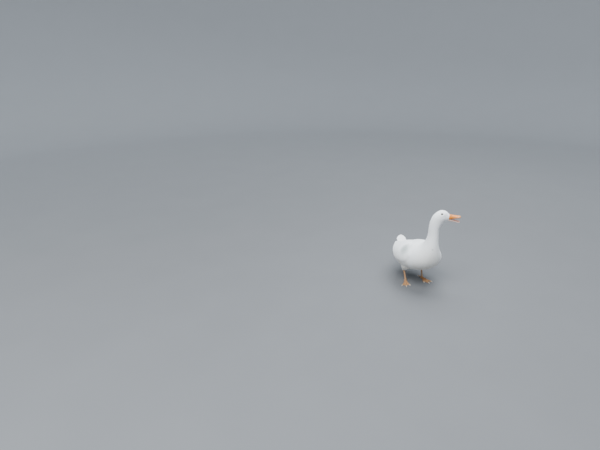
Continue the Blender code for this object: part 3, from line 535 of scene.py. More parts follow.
def make_plumage(name, barbs=0.0, depth=0.00012):
    """Plumage of skin or vane: the markings, and on a vane a paler shaft and slanted barbs from its own map, with
    painted shade toward its covered root.
    """
    finish = Finish(name, 0.78, Sheen_Weight=0.35, Sheen_Roughness=0.6, Specular_IOR_Level=0.25)
    colour, height = plumage_colour(finish), finish.noise(1400.0, 2.0)
    if barbs:
        across, along, _ = finish.parts(finish.new("ShaderNodeUVMap", uv_map="vane").outputs[0])
        aside = finish.math("ABSOLUTE", finish.math("SUBTRACT", across, 0.5))
        phase = finish.math("MULTIPLY_ADD", aside, -0.55, along)
        wave = finish.math("SINE", finish.times(phase, 6.2832 * barbs))
        shaft = finish.span(aside, 0.012, 0.035, 1.0, 0.0)
        height = finish.plus(finish.times(wave, 0.35), finish.times(height, 0.5))
        height = finish.plus(height, finish.times(shaft, 1.2))
        # painted shade: each vane greys toward its root, which the feathers over it cover
        colour = finish.mix(finish.times(finish.span(along, 0.45, 0.0), 0.16), colour, GREY_SHADE)
        colour = finish.mix(finish.times(shaft, 0.35), colour, SHAFT)
    return finish.done(colour, height, depth, 0.6)


SKIN_FINISH = make_plumage("plumage_skin")
DOWN_FINISH = make_plumage("plumage_small", barbs=14.0, depth=0.00004)
VANE_FINISH = make_plumage("plumage_vane", barbs=44.0, depth=0.00007)
QUILL_FINISH = make_plumage("plumage_quill", barbs=80.0, depth=0.00012)


# %% [markdown]
# ## One skin for all the flesh
# Under the feathers lies one skin. Trunk, neck and head are a single loft, drawn in from the solids by the
# depth of the coat, and the thighs are fused into it by one union.

# %% Legs, from the same sizes as the solids
LEGS = {
    "right": {"side": -1, "ankle": (-0.013, -0.055), "hock": (-0.033, -0.058, 0.061),
              "hip": (0.006, -0.056, 0.125), "yaw": -20.0},
    "left": {"side": 1, "ankle": (-0.022, 0.050), "hock": (-0.043, 0.053, 0.061),
             "hip": (0.000, 0.056, 0.126), "yaw": 8.0},
}
THIGH_TOP, THIGH_HOCK = 0.038, 0.0080
SHANK_FOOT = 0.0125


def thigh_shape(word):
    """The thigh as a surface: level ellipses along the line from the hip to the hock, narrower as they go down."""
    hip, hock = np.array(LEGS[word]["hip"]), np.array(LEGS[word]["hock"])

    def shape(t, q):
        t, q = spread(t, q)
        wide, turn = THIGH_TOP * np.clip(1 - t, 0, 1) ** 0.85 + THIGH_HOCK, 2 * np.pi * q
        ring = points_of(1.10 * wide * np.cos(turn), 0.92 * wide * np.sin(turn), 0.0)
        return hip + (hock - hip) * t[..., None] + ring + OFFSET
    return shape


def limb_sink(t):
    """How deep the top of a thigh is sunk under the coat of the flank, nothing at its middle."""
    return 0.006 * (1 - smooth(t, 0.10, 0.55))


# %% How deep the coat is along the body
LIE = np.array([U_TAIL, -0.02, *at_ring([1, 3, 6, 8, 10, 11, 12, 13, 15])])
COAT_DEPTH = np.array([0.8, 0.9, 1.0, 1.1, 1.1, 1.0, 0.9, 0.9, 0.8, 0.8, 0.7]) / 1000


def along_body(values, u):
    """Values given at a few places, read at any place along the body."""
    return np.interp(u, LIE, values)


# %% Loft the skin and fuse the thighs into it
def loft(name, shape, rows, cols, depth, first=0.0, last=1.0):
    """A closed tube over a surface, drawn in by a depth, with enough rows for a smooth outline."""
    p, q = np.linspace(first, last, rows)[:, None], (np.arange(cols) / cols)[None, :]
    return tube(name, shape(p, q, depth(p)), SKIN_FINISH, slot="plumage")


def fuse(obj, others):
    """The others are joined into the object by one union of closed surfaces, and then removed."""
    group = bpy.data.collections.new(obj.name + "_joined")
    bpy.context.scene.collection.children.link(group)
    for other in others:
        other.parent = None
        bpy.context.scene.collection.objects.unlink(other)
        group.objects.link(other)
        TALLY.pop(other.name)
    mod = obj.modifiers.new("union", "BOOLEAN")
    mod.operation, mod.solver, mod.operand_type, mod.collection = "UNION", "MANIFOLD", "COLLECTION", group
    mesh = bpy.data.meshes.new_from_object(obj.evaluated_get(bpy.context.evaluated_depsgraph_get()))
    obj.modifiers.clear()
    obj.data = mesh
    for other in list(group.objects):
        bpy.data.objects.remove(other)
    bpy.data.collections.remove(group)
    mesh.polygons.foreach_set("use_smooth", np.ones(len(mesh.polygons), bool))
    TALLY[obj.name] = sum(len(p.vertices) - 2 for p in mesh.polygons)
    print(f"{obj.name}: {TALLY[obj.name]} triangles after the union")


duck_skin = loft("skin", body, 300, 128, lambda u: -along_body(COAT_DEPTH, u), U_TAIL, U_FACE)
limbs = [loft(f"thigh_skin_{word}", over(thigh_shape(word)), 30, 48, lambda t: -0.0012 - limb_sink(t))
         for word in LEGS]
fuse(duck_skin, limbs)
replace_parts(duck_skin, "torso", "neck", "head", "thigh_left", "thigh_right")


# %% [markdown]
# ## Small feathers
# The body feathers lie in staggered rows that run round the bird, each row's tips over the next row's roots,
# from the bill back to the tail. They are three millimetres long on the face and ten times that on the back.
# Hundreds are worked out at once: a feather is a grid in the surface's own parameters, lifted toward its tip.

# %% Set roots in staggered rows
ROUND_POINTS, STRAY_ROUND, STRAY_ALONG = 241, 0.18, 0.4


def staggered(place, start, stop, gap_along, gap_round, rng, closed=True):
    """Roots in rows from start to stop: each row is spread by its own length, every second one half a step on."""
    q = np.linspace(0, 1, ROUND_POINTS)
    rows, p, odd = [], start, False
    while p < stop:
        line = place(np.full_like(q, p), q, 0.0)
        reach = np.concatenate([[0], np.cumsum(np.linalg.norm(np.diff(line, axis=0), axis=1))])
        count = max(4, int(round(reach[-1] / gap_round(p))))
        share = (np.arange(count) + 0.5 * odd + rng.uniform(-STRAY_ROUND, STRAY_ROUND, count)) / count
        share = share % 1 if closed else np.clip(share, 0, 1)
        ahead = place(np.full_like(q, p + 0.002), q, 0.0) - line
        step = gap_along(p) / (np.linalg.norm(ahead, axis=1).mean() / 0.002)
        stray = step * rng.uniform(-STRAY_ALONG, STRAY_ALONG, count)
        rows.append(np.stack([p + stray, np.interp(share * reach[-1], reach, q)], 1))
        p, odd = p + step, not odd
    return np.concatenate(rows)


# %% Find which way a feather's length and width run
SLOWEST = 0.40


def headings(place, roots, sign, angle):
    """Steps of the two parameters for one metre along and one metre across, turned from the lie by an angle."""
    e = 1e-3
    p, q = roots.T
    along = np.maximum(away(place(p + e, q, 0.0), place(p - e, q, 0.0)) / (2 * e), SLOWEST)
    across = away(place(p, q + e, 0.0), place(p, q - e, 0.0)) / (2 * e)
    c, s = np.cos(angle), np.sin(angle)
    return np.stack([sign * c / along, s / across], 1), np.stack([-sign * s / along, c / across], 1)


# %% Join blades in one piece with their two maps
PATCH = 0.003


def blades(name, points, vane, homes, finish):
    """Blades alike in layout as one piece: a map of each one's own vane, and a map in which each has a small patch
    at its home on an unwrap of the skin, whose edges are kept one part in a hundred inside the square."""
    count, rows, ring = points.shape[:3]
    homes = np.asarray(homes)[:, None, None, :] * 0.98 + 0.01
    return piece(name, points, [many(blade_faces(rows, ring), count, rows * ring)], finish, slot="plumage",
                 maps={"OFBake": homes + PATCH * (vane - 0.5), "vane": vane}, blade=(rows, ring))


# %% Lay many small feathers on a surface at once
VANE_ROWS = np.array([0.0, 0.34, 0.64, 0.84, 0.95, 1.0])
VANE_WIDTHS = np.array([0.42, 0.88, 1.0, 0.86, 0.58, 0.26])
LANCE_ROWS = np.array([0.0, 0.36, 0.74, 1.0])
LANCE_WIDTHS = np.array([0.60, 1.0, 0.78, 0.08])


def feathers(name, finish, place, roots, sign, rng, length, half, low, high, rows=VANE_ROWS, widths=VANE_WIDTHS,
             cols=3, sway=0.09, thick=0.0003, camber=0.07, press=0.0):
    """Blades that start at the roots: width by rows of shares; the height rises fast from low and levels out at
    high, falls off to both edges by the square of the distance from the shaft, and the tip may be pressed down."""
    n = len(roots)
    length, half, low, high = (np.broadcast_to(value, n)[:, None, None] for value in (length, half, low, high))
    ahead, aside = headings(place, roots, sign, rng.normal(0, sway, n))
    size = 1 + rng.normal(0, 0.08, (n, 1, 1))
    t, s, shape = rows[None, :, None], np.linspace(-1, 1, cols)[None, None, :], widths[None, :, None]
    wide = shape * half * size * (1 + 0.06 * rng.normal(size=(n, len(rows), cols)))
    uneven = 0.015 * rng.normal(size=(n, 1, cols)) - 0.09 * (s * shape) ** 2
    along = length * size * t * (1 + uneven * t)
    p, q = (roots[:, k, None, None] + ahead[:, k, None, None] * along + aside[:, k, None, None] * wide * s
            for k in (0, 1))
    lift = high * (1 + 0.3 * rng.normal(size=(n, 1, 1)))
    height = low + (lift - low) * (1 - (1 - t) ** 2) - camber * wide * s ** 2 - press * t ** 4
    top, bottom = place(p, q, height + thick / 2), place(p, q, height - thick / 2)
    vane = np.broadcast_to(points_of(0.5 + 0.5 * s * shape, t, 0.0)[..., :2], (n, len(rows), cols, 2))
    homes = np.stack([roots[:, 1] % 1, (roots[:, 0] - U_TAIL) / (U_FACE - U_TAIL)], 1)
    return blades(name, np.concatenate([top, bottom[:, :, ::-1]], axis=2),
                  np.concatenate([vane, vane[:, :, ::-1]], axis=2), homes, finish)


# %% Where the folded wing lies, from the same sizes as the solids
WING_FRONT, WING_REAR, WING_LEAVE = 0.066, -0.185, -0.118
WING_PAD, WING_CORE, WING_LIFT, WING_SLOPE = 0.0072, 0.74, 0.0024, 0.32
SHOULDER = at_ring(6.4)


def wing_edges(a):
    """The lower and upper edge of the folded wing as v of the skin, a from the shoulder (0) to the tip (1)."""
    front = np.sqrt(np.clip(1 - (1 - ramp(a, 0, 0.30)) ** 2, 0, 1))
    rear = 1 - 0.62 * np.clip((a - 0.45) / 0.55, 0, 1.4) ** 1.3
    middle = 0.300 + 0.085 * a
    return middle - 0.106 * front * rear, middle + 0.138 * front * rear ** 0.8


def pad_height(a, b):
    """How far the folded wing stands over the skin: full in its middle, thin at its edges and its tip."""
    edge = np.clip(1 - (2 * b - 1) ** 2, 0, 1) ** np.where(b > 0.5, 0.8, 0.5)
    end = ramp(a, 0, 0.12) ** 0.5 * np.clip((1.10 - a) / 0.50, 0, 1) ** 0.8
    return WING_LIFT + WING_PAD * edge * end


def on_wing(u, v):
    """The place of a point of the body on the wing of its side: a from shoulder to tip, b from the lower edge up."""
    x = spline(np.clip(u, 0, 1), KNOTS, RINGS)[..., 0]
    a = (WING_FRONT - x) / (WING_FRONT - WING_REAR)
    low, high = wing_edges(np.clip(a, 0.02, 1))
    v = v % 1
    return a, (np.minimum(v, 1 - v) - low) / np.maximum(high - low, 0.02)


def over_wings(u, v, height):
    """The body as its small feathers cover it: they climb over the shoulder and both edges of the folded wing."""
    u, v = spread(u, v)
    a, b = on_wing(u, v)
    near = smooth(a, -0.07, 0.03) * (1 - smooth(a, 0.60, 0.82)) * smooth(b, -0.10, 0.02) * (1 - smooth(b, 0.98, 1.10))
    rise = near * pad_height(np.clip(a, 0.03, 1), np.clip(b, 0.02, 0.98))
    return body(u, v, height + rise * (u < SHOULDER))


# %% The lie of the coat along the body, from rump to bill
FEATHER_LENGTH = np.array([11, 14, 24, 29, 24, 15, 8.5, 6.5, 5.0, 4.0, 2.8]) / 1000
FEATHER_HALF = np.array([4.4, 5.4, 8.0, 9.0, 7.6, 4.8, 2.6, 2.0, 1.5, 1.2, 0.94]) / 1000
ROW_GAP = np.array([2.6, 3.0, 5.6, 6.4, 5.4, 3.8, 2.5, 1.9, 1.5, 1.2, 0.95]) / 1000
SIDE_GAP = np.array([4.2, 5.0, 6.6, 7.0, 5.8, 3.9, 2.3, 1.7, 1.3, 1.1, 0.85]) / 1000
TIP_LIFT = np.array([0.4, 0.4, 0.55, 0.55, 0.45, 0.35, 0.20, 0.14, 0.10, 0.08, 0.05]) / 1000
ROOT_CLEAR, TIP_CLEAR = 0.0060, 0.0068
HIDDEN_A, HIDDEN_B = (0.12, 0.74), (0.10, 0.88)


def under_wing(roots):
    """Whether a root lies where the wing's own feathers take over from those of the body."""
    a, b = on_wing(roots[:, 0], roots[:, 1])
    return (a > HIDDEN_A[0]) & (a < HIDDEN_A[1]) & (b > HIDDEN_B[0]) & (b < HIDDEN_B[1])


def near_eye(roots, reach):
    """Whether a root lies within a distance of the middle of an eye."""
    points = body(roots[:, 0], roots[:, 1], 0.0)
    return np.any([away(points, eye) < reach for eye in EYES.values()], axis=0)


def body_roots(first, last, rng):
    """Staggered roots on the body from one place to another, without those that lie hidden under the wings."""
    roots = staggered(body, float(first), float(last),
                      lambda u: along_body(ROW_GAP, u), lambda u: along_body(SIDE_GAP, u), rng)
    roots[:, 0] = np.clip(roots[:, 0], U_TAIL + 0.002, U_FACE - 0.002)
    return roots[~under_wing(roots) & ~near_eye(roots, ROOT_CLEAR)]


def body_coat(name, roots, finish, rng, **form):
    """One piece of coat on the body from its roots, sized by where each root stands; feathers whose tips would
    reach an eye are less than half as long, like the tiny ones round the lids."""
    u = roots[:, 0]
    length = along_body(FEATHER_LENGTH, u)
    ahead, _ = headings(body, roots, -1, 0.0)
    length = np.where(near_eye(roots + ahead * length[:, None], TIP_CLEAR), 0.42 * length, length)
    feathers(f"coat_{name}", finish, over_wings, roots, -1, rng, length, along_body(FEATHER_HALF, u),
             -0.9 * along_body(COAT_DEPTH, u), along_body(TIP_LIFT, u), **form)


# %% Cover trunk, neck and head
rng = np.random.default_rng(5)
trunk_roots = body_roots(U_TAIL, SHOULDER, rng)
upper_side = np.abs(trunk_roots[:, 1] - 0.5) < 0.25
body_coat("back", trunk_roots[upper_side], VANE_FINISH, rng)
body_coat("belly", trunk_roots[~upper_side], VANE_FINISH, rng)
LANCE = dict(rows=LANCE_ROWS, widths=LANCE_WIDTHS)
body_coat("neck_low", body_roots(SHOULDER, at_ring(9), rng), VANE_FINISH, rng, thick=0.0002, camber=0.10, **LANCE)
for name, first, last in (("neck_high", at_ring(9), at_ring(11)), ("head", at_ring(11), at_ring(13)),
                          ("face", at_ring(13), U_FACE)):
    body_coat(name, body_roots(first, last, rng), DOWN_FINISH, rng, cols=2, thick=0.00014, camber=0.0, sway=0.13,
              press=0.00022, **LANCE)


# %% Cover the thighs
def thigh_coat(word, seed, gap=0.0036, length=0.0170, half=0.0027):
    """Even feathers down a thigh, smaller toward the hock, their roots sunk at its top under those of the flank."""
    rng = np.random.default_rng(seed)
    place = over(thigh_shape(word))
    sunk = lambda t, q, height: place(t, q, height - limb_sink(t))
    roots = staggered(place, 0.08, 1.0, lambda t: gap, lambda t: gap, rng)
    scale = 1 - 0.45 * roots[:, 0]
    feathers(f"coat_thigh_{word}", VANE_FINISH, sunk, roots, 1, rng, length * scale, half * scale, -0.0010, 0.0002,
             sway=0.16, **LANCE)


for seed, word in enumerate(LEGS):
    thigh_coat(word, 31 + seed)


# %% [markdown]
# ## Wings
# A folded wing is a padded bend of small coverts, then rows of longer ones, and from under them the
# secondaries and the primaries run back to the rump. The big feathers are worked out one by one, each a
# curved blade with a raised shaft, a few splits in its edge, and the upper vane laid over the next one down.

# %% The wing as a surface over the trunk
def u_of_x(x):
    """The place along the skin where the middle line of the trunk stands at x."""
    u = np.linspace(0, at_ring(6), 200)
    return np.interp(x, spline(u, KNOTS, RINGS)[:, 0], u)


def wing_point(side, a, b, height):
    """A point over the trunk where the folded wing lies, and behind it straight to the tip."""
    a, b, height = spread(a, b, height)
    low, high = wing_edges(a)
    x = WING_FRONT + (WING_REAR - WING_FRONT) * a
    behind = np.maximum(WING_LEAVE - x, 0)
    p = raised(skin, u_of_x(np.maximum(x, WING_LEAVE)), low + (high - low) * b, height) - OFFSET
    y = p[..., 1] * (1 - np.minimum(behind * 4.0, 0.4))
    return points_of(p[..., 0] - behind, -side * y, p[..., 2] - WING_SLOPE * behind) + OFFSET


def wing_top(side, a, b, extra):
    """A point over the padded outer face of the wing."""
    a, b, extra = spread(a, b, extra)
    return wing_point(side, a, b, pad_height(a, b) + extra)


# %% One long feather
QUILL_COLS = np.array([-1, -0.82, -0.58, -0.32, -0.12, -0.04, 0.0, 0.04, 0.12, 0.32, 0.58, 0.82, 1])
QUILL_KNOTS = [0, 0.25, 0.60, 0.80, 0.90, 0.96, 1]
QUILL_WIDTHS = [0.34, 0.80, 1.0, 0.92, 0.76, 0.50, 0.08]
QUILL_ROWS, QUILL_THICK, SHAFT_RISE, SPLITS = 26, 0.0006, 0.0011, 2


def quill(line, across, normal, half, rng, camber=0.10, tilt=0.0, narrow=0.0):
    """A blade along a line: its half width follows the knots, its shaft is a bell-shaped ridge that thins toward
    the tip, its edges fall by the camber, and each split is a narrow notch run in along the barbs."""
    s, t = QUILL_COLS, shares(QUILL_ROWS)
    wide = half * np.interp(t, QUILL_KNOTS, QUILL_WIDTHS) * (1 - narrow * (s > 0))
    for _ in range(SPLITS):
        centre, left = rng.uniform(0.35, 0.95), rng.random() < 0.5
        wide = wide * (1 - 0.16 * bell(t, centre, 0.014) * (np.abs(s) > 0.7) * ((s < 0) == left))
    slant = 0.35 * np.abs(s) * wide * np.interp(t, [0, 0.2, 0.9, 1], [0, 1, 0.6, 0])
    fall = camber * half * s ** 2 * np.interp(t, [0, 0.3, 1], [0.5, 1, 1]) + tilt * s
    ahead, across, normal = (way[:, None] for way in (unit(np.gradient(line, axis=0)), across, normal))
    middle = line[:, None] + across * (wide * s)[..., None] - normal * fall[..., None] + ahead * slant[..., None]
    shaft, web = SHAFT_RISE * (1 - 0.8 * t) * bell(s, 0, 0.05), QUILL_THICK / 2 * (1 - 0.5 * np.abs(s))
    top, bottom = middle + normal * (web + shaft)[..., None], middle - normal * (web + 0.5 * shaft)[..., None]
    vane = np.stack(np.broadcast_arrays(0.5 + 0.5 * s, t), -1)
    return np.concatenate([top, bottom[:, ::-1]], axis=1), np.concatenate([vane, vane[:, ::-1]], axis=1)


def quill_piece(name, made, homes):
    """Long feathers joined in one piece, each with its patch of the map at its root's place."""
    points, vane = (np.stack(grids) for grids in zip(*made))
    return blades(name, points, vane, homes, QUILL_FINISH)


# %% The tiers of one wing
# count, a of the roots, a of the tips (each lowest, highest), b of the roots, b of the tips, half width, lift
QUILL_TIERS = (
    (8, (0.66, 0.62), (0.93, 1.02), (0.28, 0.82), (0.42, 0.80), 0.0066, 0.0000),
    (12, (0.50, 0.50), (0.80, 0.97), (0.07, 0.90), (0.12, 0.88), 0.0092, 0.0010),
    (13, (0.36, 0.36), (0.62, 0.66), (0.06, 0.91), (0.07, 0.90), 0.0092, 0.0011),
    (13, (0.24, 0.24), (0.45, 0.47), (0.06, 0.91), (0.08, 0.90), 0.0092, 0.0011),
)
QUILL_SINK, EDGE_SINK = 0.0026, 0.0038


def wing_quill(side, start, end, half, lift, rng):
    """A feather of the wing from one place (a, b) to another, its root sunk in the coat and its tip lifted."""
    t = np.linspace(0, 1, QUILL_ROWS)
    a, b = start[0] + (end[0] - start[0]) * t, start[1] + (end[1] - start[1]) * t
    height = -QUILL_SINK + (QUILL_SINK + lift) * ramp(t, 0, 0.5) ** 0.8
    height = height - EDGE_SINK * smooth(b, 0.62, 0.90) * smooth(a, 0.50, 0.80)
    line = wing_top(side, a, b, height)
    across = unit(wing_top(side, a, b + 0.03, height) - wing_top(side, a, b - 0.03, height))
    normal = unit(np.cross(np.gradient(line, axis=0), across))
    normal = normal * np.sign(side * normal[0, 1] or 1.0)
    return quill(line, across, normal, half, rng, tilt=0.0011, narrow=0.25)


COVERT_LAST, COVERT_GAP, COVERT_SIDE_GAP = 0.34, 0.0072, 0.0080
COVERT_LENGTH, COVERT_HALF = 0.024, 0.0078


def build_wing(word, side):
    """One folded wing: its padded core, the scattered small coverts, and the tiers of long feathers."""
    rng = np.random.default_rng(60 + side)
    a, b = np.linspace(0.012, WING_CORE, 60)[:, None], np.linspace(0.03, 0.97, 36)[None, :]
    sunk = 0.0014 + 0.0050 * smooth(a, 0.45, WING_CORE)
    plate(f"wing_core_{word}", wing_point(side, a, b, np.maximum(pad_height(a, b) - sunk, 0.0006)),
          wing_point(side, a, b, 0.0002), SKIN_FINISH, slot="plumage")
    place = lambda a, b, height: wing_top(side, a, b, height)
    roots = staggered(place, 0.020, COVERT_LAST, lambda a: COVERT_GAP, lambda a: COVERT_SIDE_GAP, rng, closed=False)
    feathers(f"coverts_{word}", VANE_FINISH, place, roots, 1, rng, COVERT_LENGTH, COVERT_HALF, -0.0020, 0.0006)
    made, homes = [], []
    for count, a0, a1, b0, b1, half, lift in QUILL_TIERS:
        for i in range(count):
            f = (i + 0.5) / count
            start = (np.interp(f, [0, 1], a0), np.interp(f, [0, 1], b0))
            end = (np.interp(f, [0, 1], a1) + rng.uniform(-0.008, 0.008), np.interp(f, [0, 1], b1))
            made.append(wing_quill(side, start, end, half * rng.uniform(0.96, 1.04), lift, rng))
            homes.append((start[1], start[0]))
    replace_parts(quill_piece(f"quills_{word}", made, homes), f"wing_{word}")


for word, side in SIDES:
    build_wing(word, side)


# %% [markdown]
# ## Tail
# The tail is a low roof: a fan of stiff feathers, with shorter coverts over and under it that hide its root.

# %% The tail as a sheet that rises behind the rump
def tail_place(along, aside, height):
    """A point of the tail: along its rise from the root, aside, and at a height over its sheet."""
    c, s = math.cos(math.radians(TAIL_RISE)), math.sin(math.radians(TAIL_RISE))
    height = np.asarray(height) - (TAIL_PIVOT - TAIL_SHEET)
    return points_of(HINGE_X - along * c + height * s, aside, HINGE_Z + along * s + height * c) + OFFSET


def tail_quill(aside, fan, start, end, over_sheet, half, rng):
    """A feather of the tail: straight out from its root, turned aside by the fan, and bent by three heights."""
    t = np.linspace(0, 1, QUILL_ROWS)
    reach, angle = start + (end - start) * t, math.radians(fan)
    y = aside + (reach - start) * math.sin(angle) + TAIL_WAG * np.maximum(reach, 0)
    along = start + (reach - start) * math.cos(angle)
    height = over_sheet[0] + (over_sheet[1] - over_sheet[0]) * ramp(t, 0, 0.5) + over_sheet[2] * t ** 2
    line = tail_place(along, y, height - TAIL_ROOF * np.abs(y - TAIL_WAG * reach))
    roll = math.atan(TAIL_ROOF) * float(np.clip(-aside / 0.006, -1, 1))
    flat = tail_place(0.0, math.cos(roll), math.sin(roll)) - tail_place(0.0, 0.0, 0.0)
    ahead = unit(np.gradient(line, axis=0))
    normal = unit(np.cross(np.tile(flat, (QUILL_ROWS, 1)), ahead))
    return quill(line, unit(np.cross(ahead, normal)), normal, half, rng, camber=0.08)


# %% The tiers of the tail
# count, root, tip, spread of the roots, fan, heights over the sheet (root, middle, tip), half width, how much
# shorter the outer feathers are
TAIL_TIERS = (
    (16, 0.000, TAIL_LENGTH, 0.0185, 7, (0.0000, 0.0004, 0.0030), 0.0066, 0.30),
    (9, -0.010, 0.026, 0.0190, 12, (0.0004, 0.0058, -0.0010), 0.0072, 0.20),
    (8, -0.004, 0.038, 0.0170, 9, (0.0000, 0.0040, -0.0008), 0.0070, 0.20),
    (9, -0.010, 0.026, 0.0190, 12, (-0.0006, -0.0062, 0.0010), 0.0072, 0.20),
    (8, -0.004, 0.038, 0.0170, 9, (-0.0002, -0.0044, 0.0008), 0.0070, 0.20),
)
rng = np.random.default_rng(71)
made, homes = [], []
for count, start, end, wide, fan, over_sheet, half, short in TAIL_TIERS:
    for i in range(count):
        f = (i + 0.5) / count * 2 - 1
        length = end * (1 - short * f * f) + rng.uniform(-0.001, 0.001)
        layer = 0.0010 * (1 - abs(f)) + 0.0003 * (i % 2) + rng.uniform(0, 0.0003)
        raised_by = tuple(h + layer * np.sign(h or 1) for h in over_sheet[:2]) + over_sheet[2:]
        made.append(tail_quill(wide * f, fan * f, start, length, raised_by, half, rng))
        homes.append((0.5 + 0.45 * f, 0.5 + start * 10 + 0.05 * (over_sheet[1] > 0)))
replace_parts(quill_piece("tail_feathers", made, homes), "tail")


# %% [markdown]
# ## Bill
# A duck's bill is bone under a thin, tough skin: high at its root, a little waisted, and spread again before
# the hard nail at the tip. It is open here, so the comb of fine plates along its edges and the tongue show.

# %% Skin of the bill
def make_bill(name, colour, tip_colour, edge_colour, inside_colour):
    """Bill skin: another tone to the tip, darker at the rim, with fine pores and blotches; painted shade in the
    nostril, and inside the bill a darker tone that is partly the lining's own colour and partly painted shade.
    """
    finish = Finish(name, 0.42, Specular_IOR_Level=0.35, Coat_Weight=0.10, Coat_Roughness=0.35)
    blotch = finish.span(finish.noise(160.0, 4.0, 0.6), 0.35, 0.70)
    tint = finish.mix(finish.span(finish.mark("along"), 0.55, 1.0), colour, tip_colour)
    tint = finish.mix(finish.times(blotch, 0.30), tint, edge_colour)
    tint = finish.mix(finish.times(finish.mark("rim"), 0.55), tint, edge_colour)
    # painted shade, partly the lining's own colour: the inside of the bill is darker, most toward its root
    tint = finish.mix(finish.mark("inside"), tint, inside_colour)
    # painted shade: the nostril hole is painted dark
    tint = finish.mix(finish.mark("pit"), tint, (0.10, 0.03, 0.015))
    return finish.done(tint, finish.plus(finish.times(finish.cells(900.0), 0.8), finish.noise(420.0)), 0.00018)


# the fourth colour of each half is its inside: partly the lining's own colour, partly painted shade of the mouth
UPPER_FINISH = make_bill("bill_upper_skin", (0.70, 0.22, 0.014), (0.50, 0.25, 0.12), (0.45, 0.12, 0.01),
                         (0.34, 0.10, 0.03))
LOWER_FINISH = make_bill("bill_lower_skin", (0.71, 0.53, 0.46), (0.74, 0.61, 0.56), (0.65, 0.41, 0.32),
                         (0.56, 0.29, 0.21))


# %% Sections of the bill along its length
UPPER_SEAT, LOWER_SEAT, LOWER_SHARE = 0.0092, 0.0118, 0.95
NOSTRIL_ALONG, NOSTRIL_ASIDE = 0.27, 0.44


def bill_section(s, upper):
    """Half width and height of the bill: waisted by a sine, spread before the tip, rounded over the last fifth."""
    tip = np.sqrt(np.clip(1 - ramp(s, 0.80, 1) ** 2.4, 0, 1))
    waist = 0.09 * np.sin(np.pi * np.minimum(s / 0.75, 1))
    width = BILL_WIDTH / 2 * (0.95 - waist + 0.06 * ramp(s, 0.3, 0.8)) * (0.12 + 0.88 * tip)
    if upper:
        return width, 0.0125 * (1 - s) ** 1.35 + 0.0100 * (1 - 0.45 * s) * (0.30 + 0.70 * tip)
    return width * 0.90, 0.0078 * (1 - s) ** 1.1 + 0.0030 * (0.35 + 0.65 * tip)


def on_bill(along, y, up, upper):
    """Points given along a half of the bill, aside, and away from its cutting edge, at its slope on the head."""
    angle, seat, sign = (UPPER_RISE, UPPER_SEAT, 1) if upper else (-LOWER_DROP, LOWER_SEAT, -1)
    c, s = math.cos(math.radians(angle)), math.sin(math.radians(angle))
    x = np.where(along <= 0, BILL_X, BILL_X + along * c - sign * up * s)
    return on_head(points_of(x, y, BILL_Z - seat + along * s + sign * up * c))


# %% The two halves of the bill
def bill_half(name, upper, material, slot):
    """An arch from the cosine of the share across, a lower one inside; nail, rim and nostril are swellings."""
    s, t = shares(90), np.linspace(-1, 1, 45)[None, :]
    across, sine = np.abs(t), np.sin(t * np.pi / 2)
    width, crown = bill_section(s, upper)
    crown = crown * (1 if upper else 0.52 + 0.48 * np.sin(ramp(s, 0, 0.16) * np.pi / 2))
    arch = np.cos(t * np.pi / 2) ** 0.75
    nail = 1 / (1 + np.exp(-(s - 0.87) / 0.008)) * np.exp(-(across / 0.42) ** 6)
    rim, groove = bell(across, 0.93, 0.05), bell(across, 0.80, 0.05) * ramp(s, 0, 0.1)
    pit = upper * bell(s, NOSTRIL_ALONG, 0.040) * bell(across, NOSTRIL_ASIDE, 0.085)
    ring = np.sqrt(((s - NOSTRIL_ALONG) / 0.062) ** 2 + ((across - NOSTRIL_ASIDE) / 0.13) ** 2)
    brink = upper * np.exp(-(ring - 1) ** 2 / 0.06)
    out = 0.0006 * nail + 0.0003 * rim - 0.0004 * groove - 0.0026 * pit + 0.0004 * brink
    outer = crown * arch + 0.0004 + out * np.cos(t * np.pi / 2)
    wall = 0.0012 + 0.0010 * (1 - s)
    inner = np.maximum(crown * arch - wall - 0.0010, 0) * 0.72 * (1 - (1 - s) ** 6)
    inner = np.where(across > 0.99, 0, inner) - 0.0008
    along = s * BILL_LENGTH * (1 if upper else LOWER_SHARE)
    shell = on_bill(along, (width + out * np.abs(sine)) * sine, outer, upper)
    hollow = on_bill(along, width * sine * 0.97, inner, upper)
    # the inside mark is 1 at the root of the hollow and a half at the tip, and the pit mark covers the nostril: both
    # carry painted shade
    marks = {"along": (s, s), "inside": (0, 1 - 0.5 * s), "rim": (rim, 0.4), "pit": (np.clip(pit * 1.3, 0, 1), 0)}
    marks = {word: np.concatenate([np.broadcast_to(value, outer.shape) for value in both], axis=1)
             for word, both in marks.items()}
    grid = np.concatenate([shell, hollow[:, ::-1]], axis=1)
    return tube(name, grid, material, marks=marks, slot=slot)


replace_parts(bill_half("bill_top", True, UPPER_FINISH, "bill"), "bill_upper")
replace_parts(bill_half("bill_bottom", False, LOWER_FINISH, "lower_bill"), "bill_lower")


# %% The comb of plates along the edges of the bill
def make_flesh(name, colour, dark, roughness=0.35):
    """Moist flesh: two tones in soft blotches, fine bumps, and a wet coat."""
    finish = Finish(name, roughness, Coat_Weight=0.5, Coat_Roughness=0.15, Specular_IOR_Level=0.5)
    blotch = finish.span(finish.noise(220.0, 4.0, 0.6), 0.3, 0.7)
    return finish.done(finish.mix(blotch, colour, dark), finish.cells(1100.0), 0.0002)


# share of the half width, and height over the cutting edge, of the four corners of a plate
COMB_CORNERS = ((0.97, 0.0012), (0.84, 0.0012), (0.86, -0.0009), (0.955, -0.0006))
COMB_THICK = 0.00032


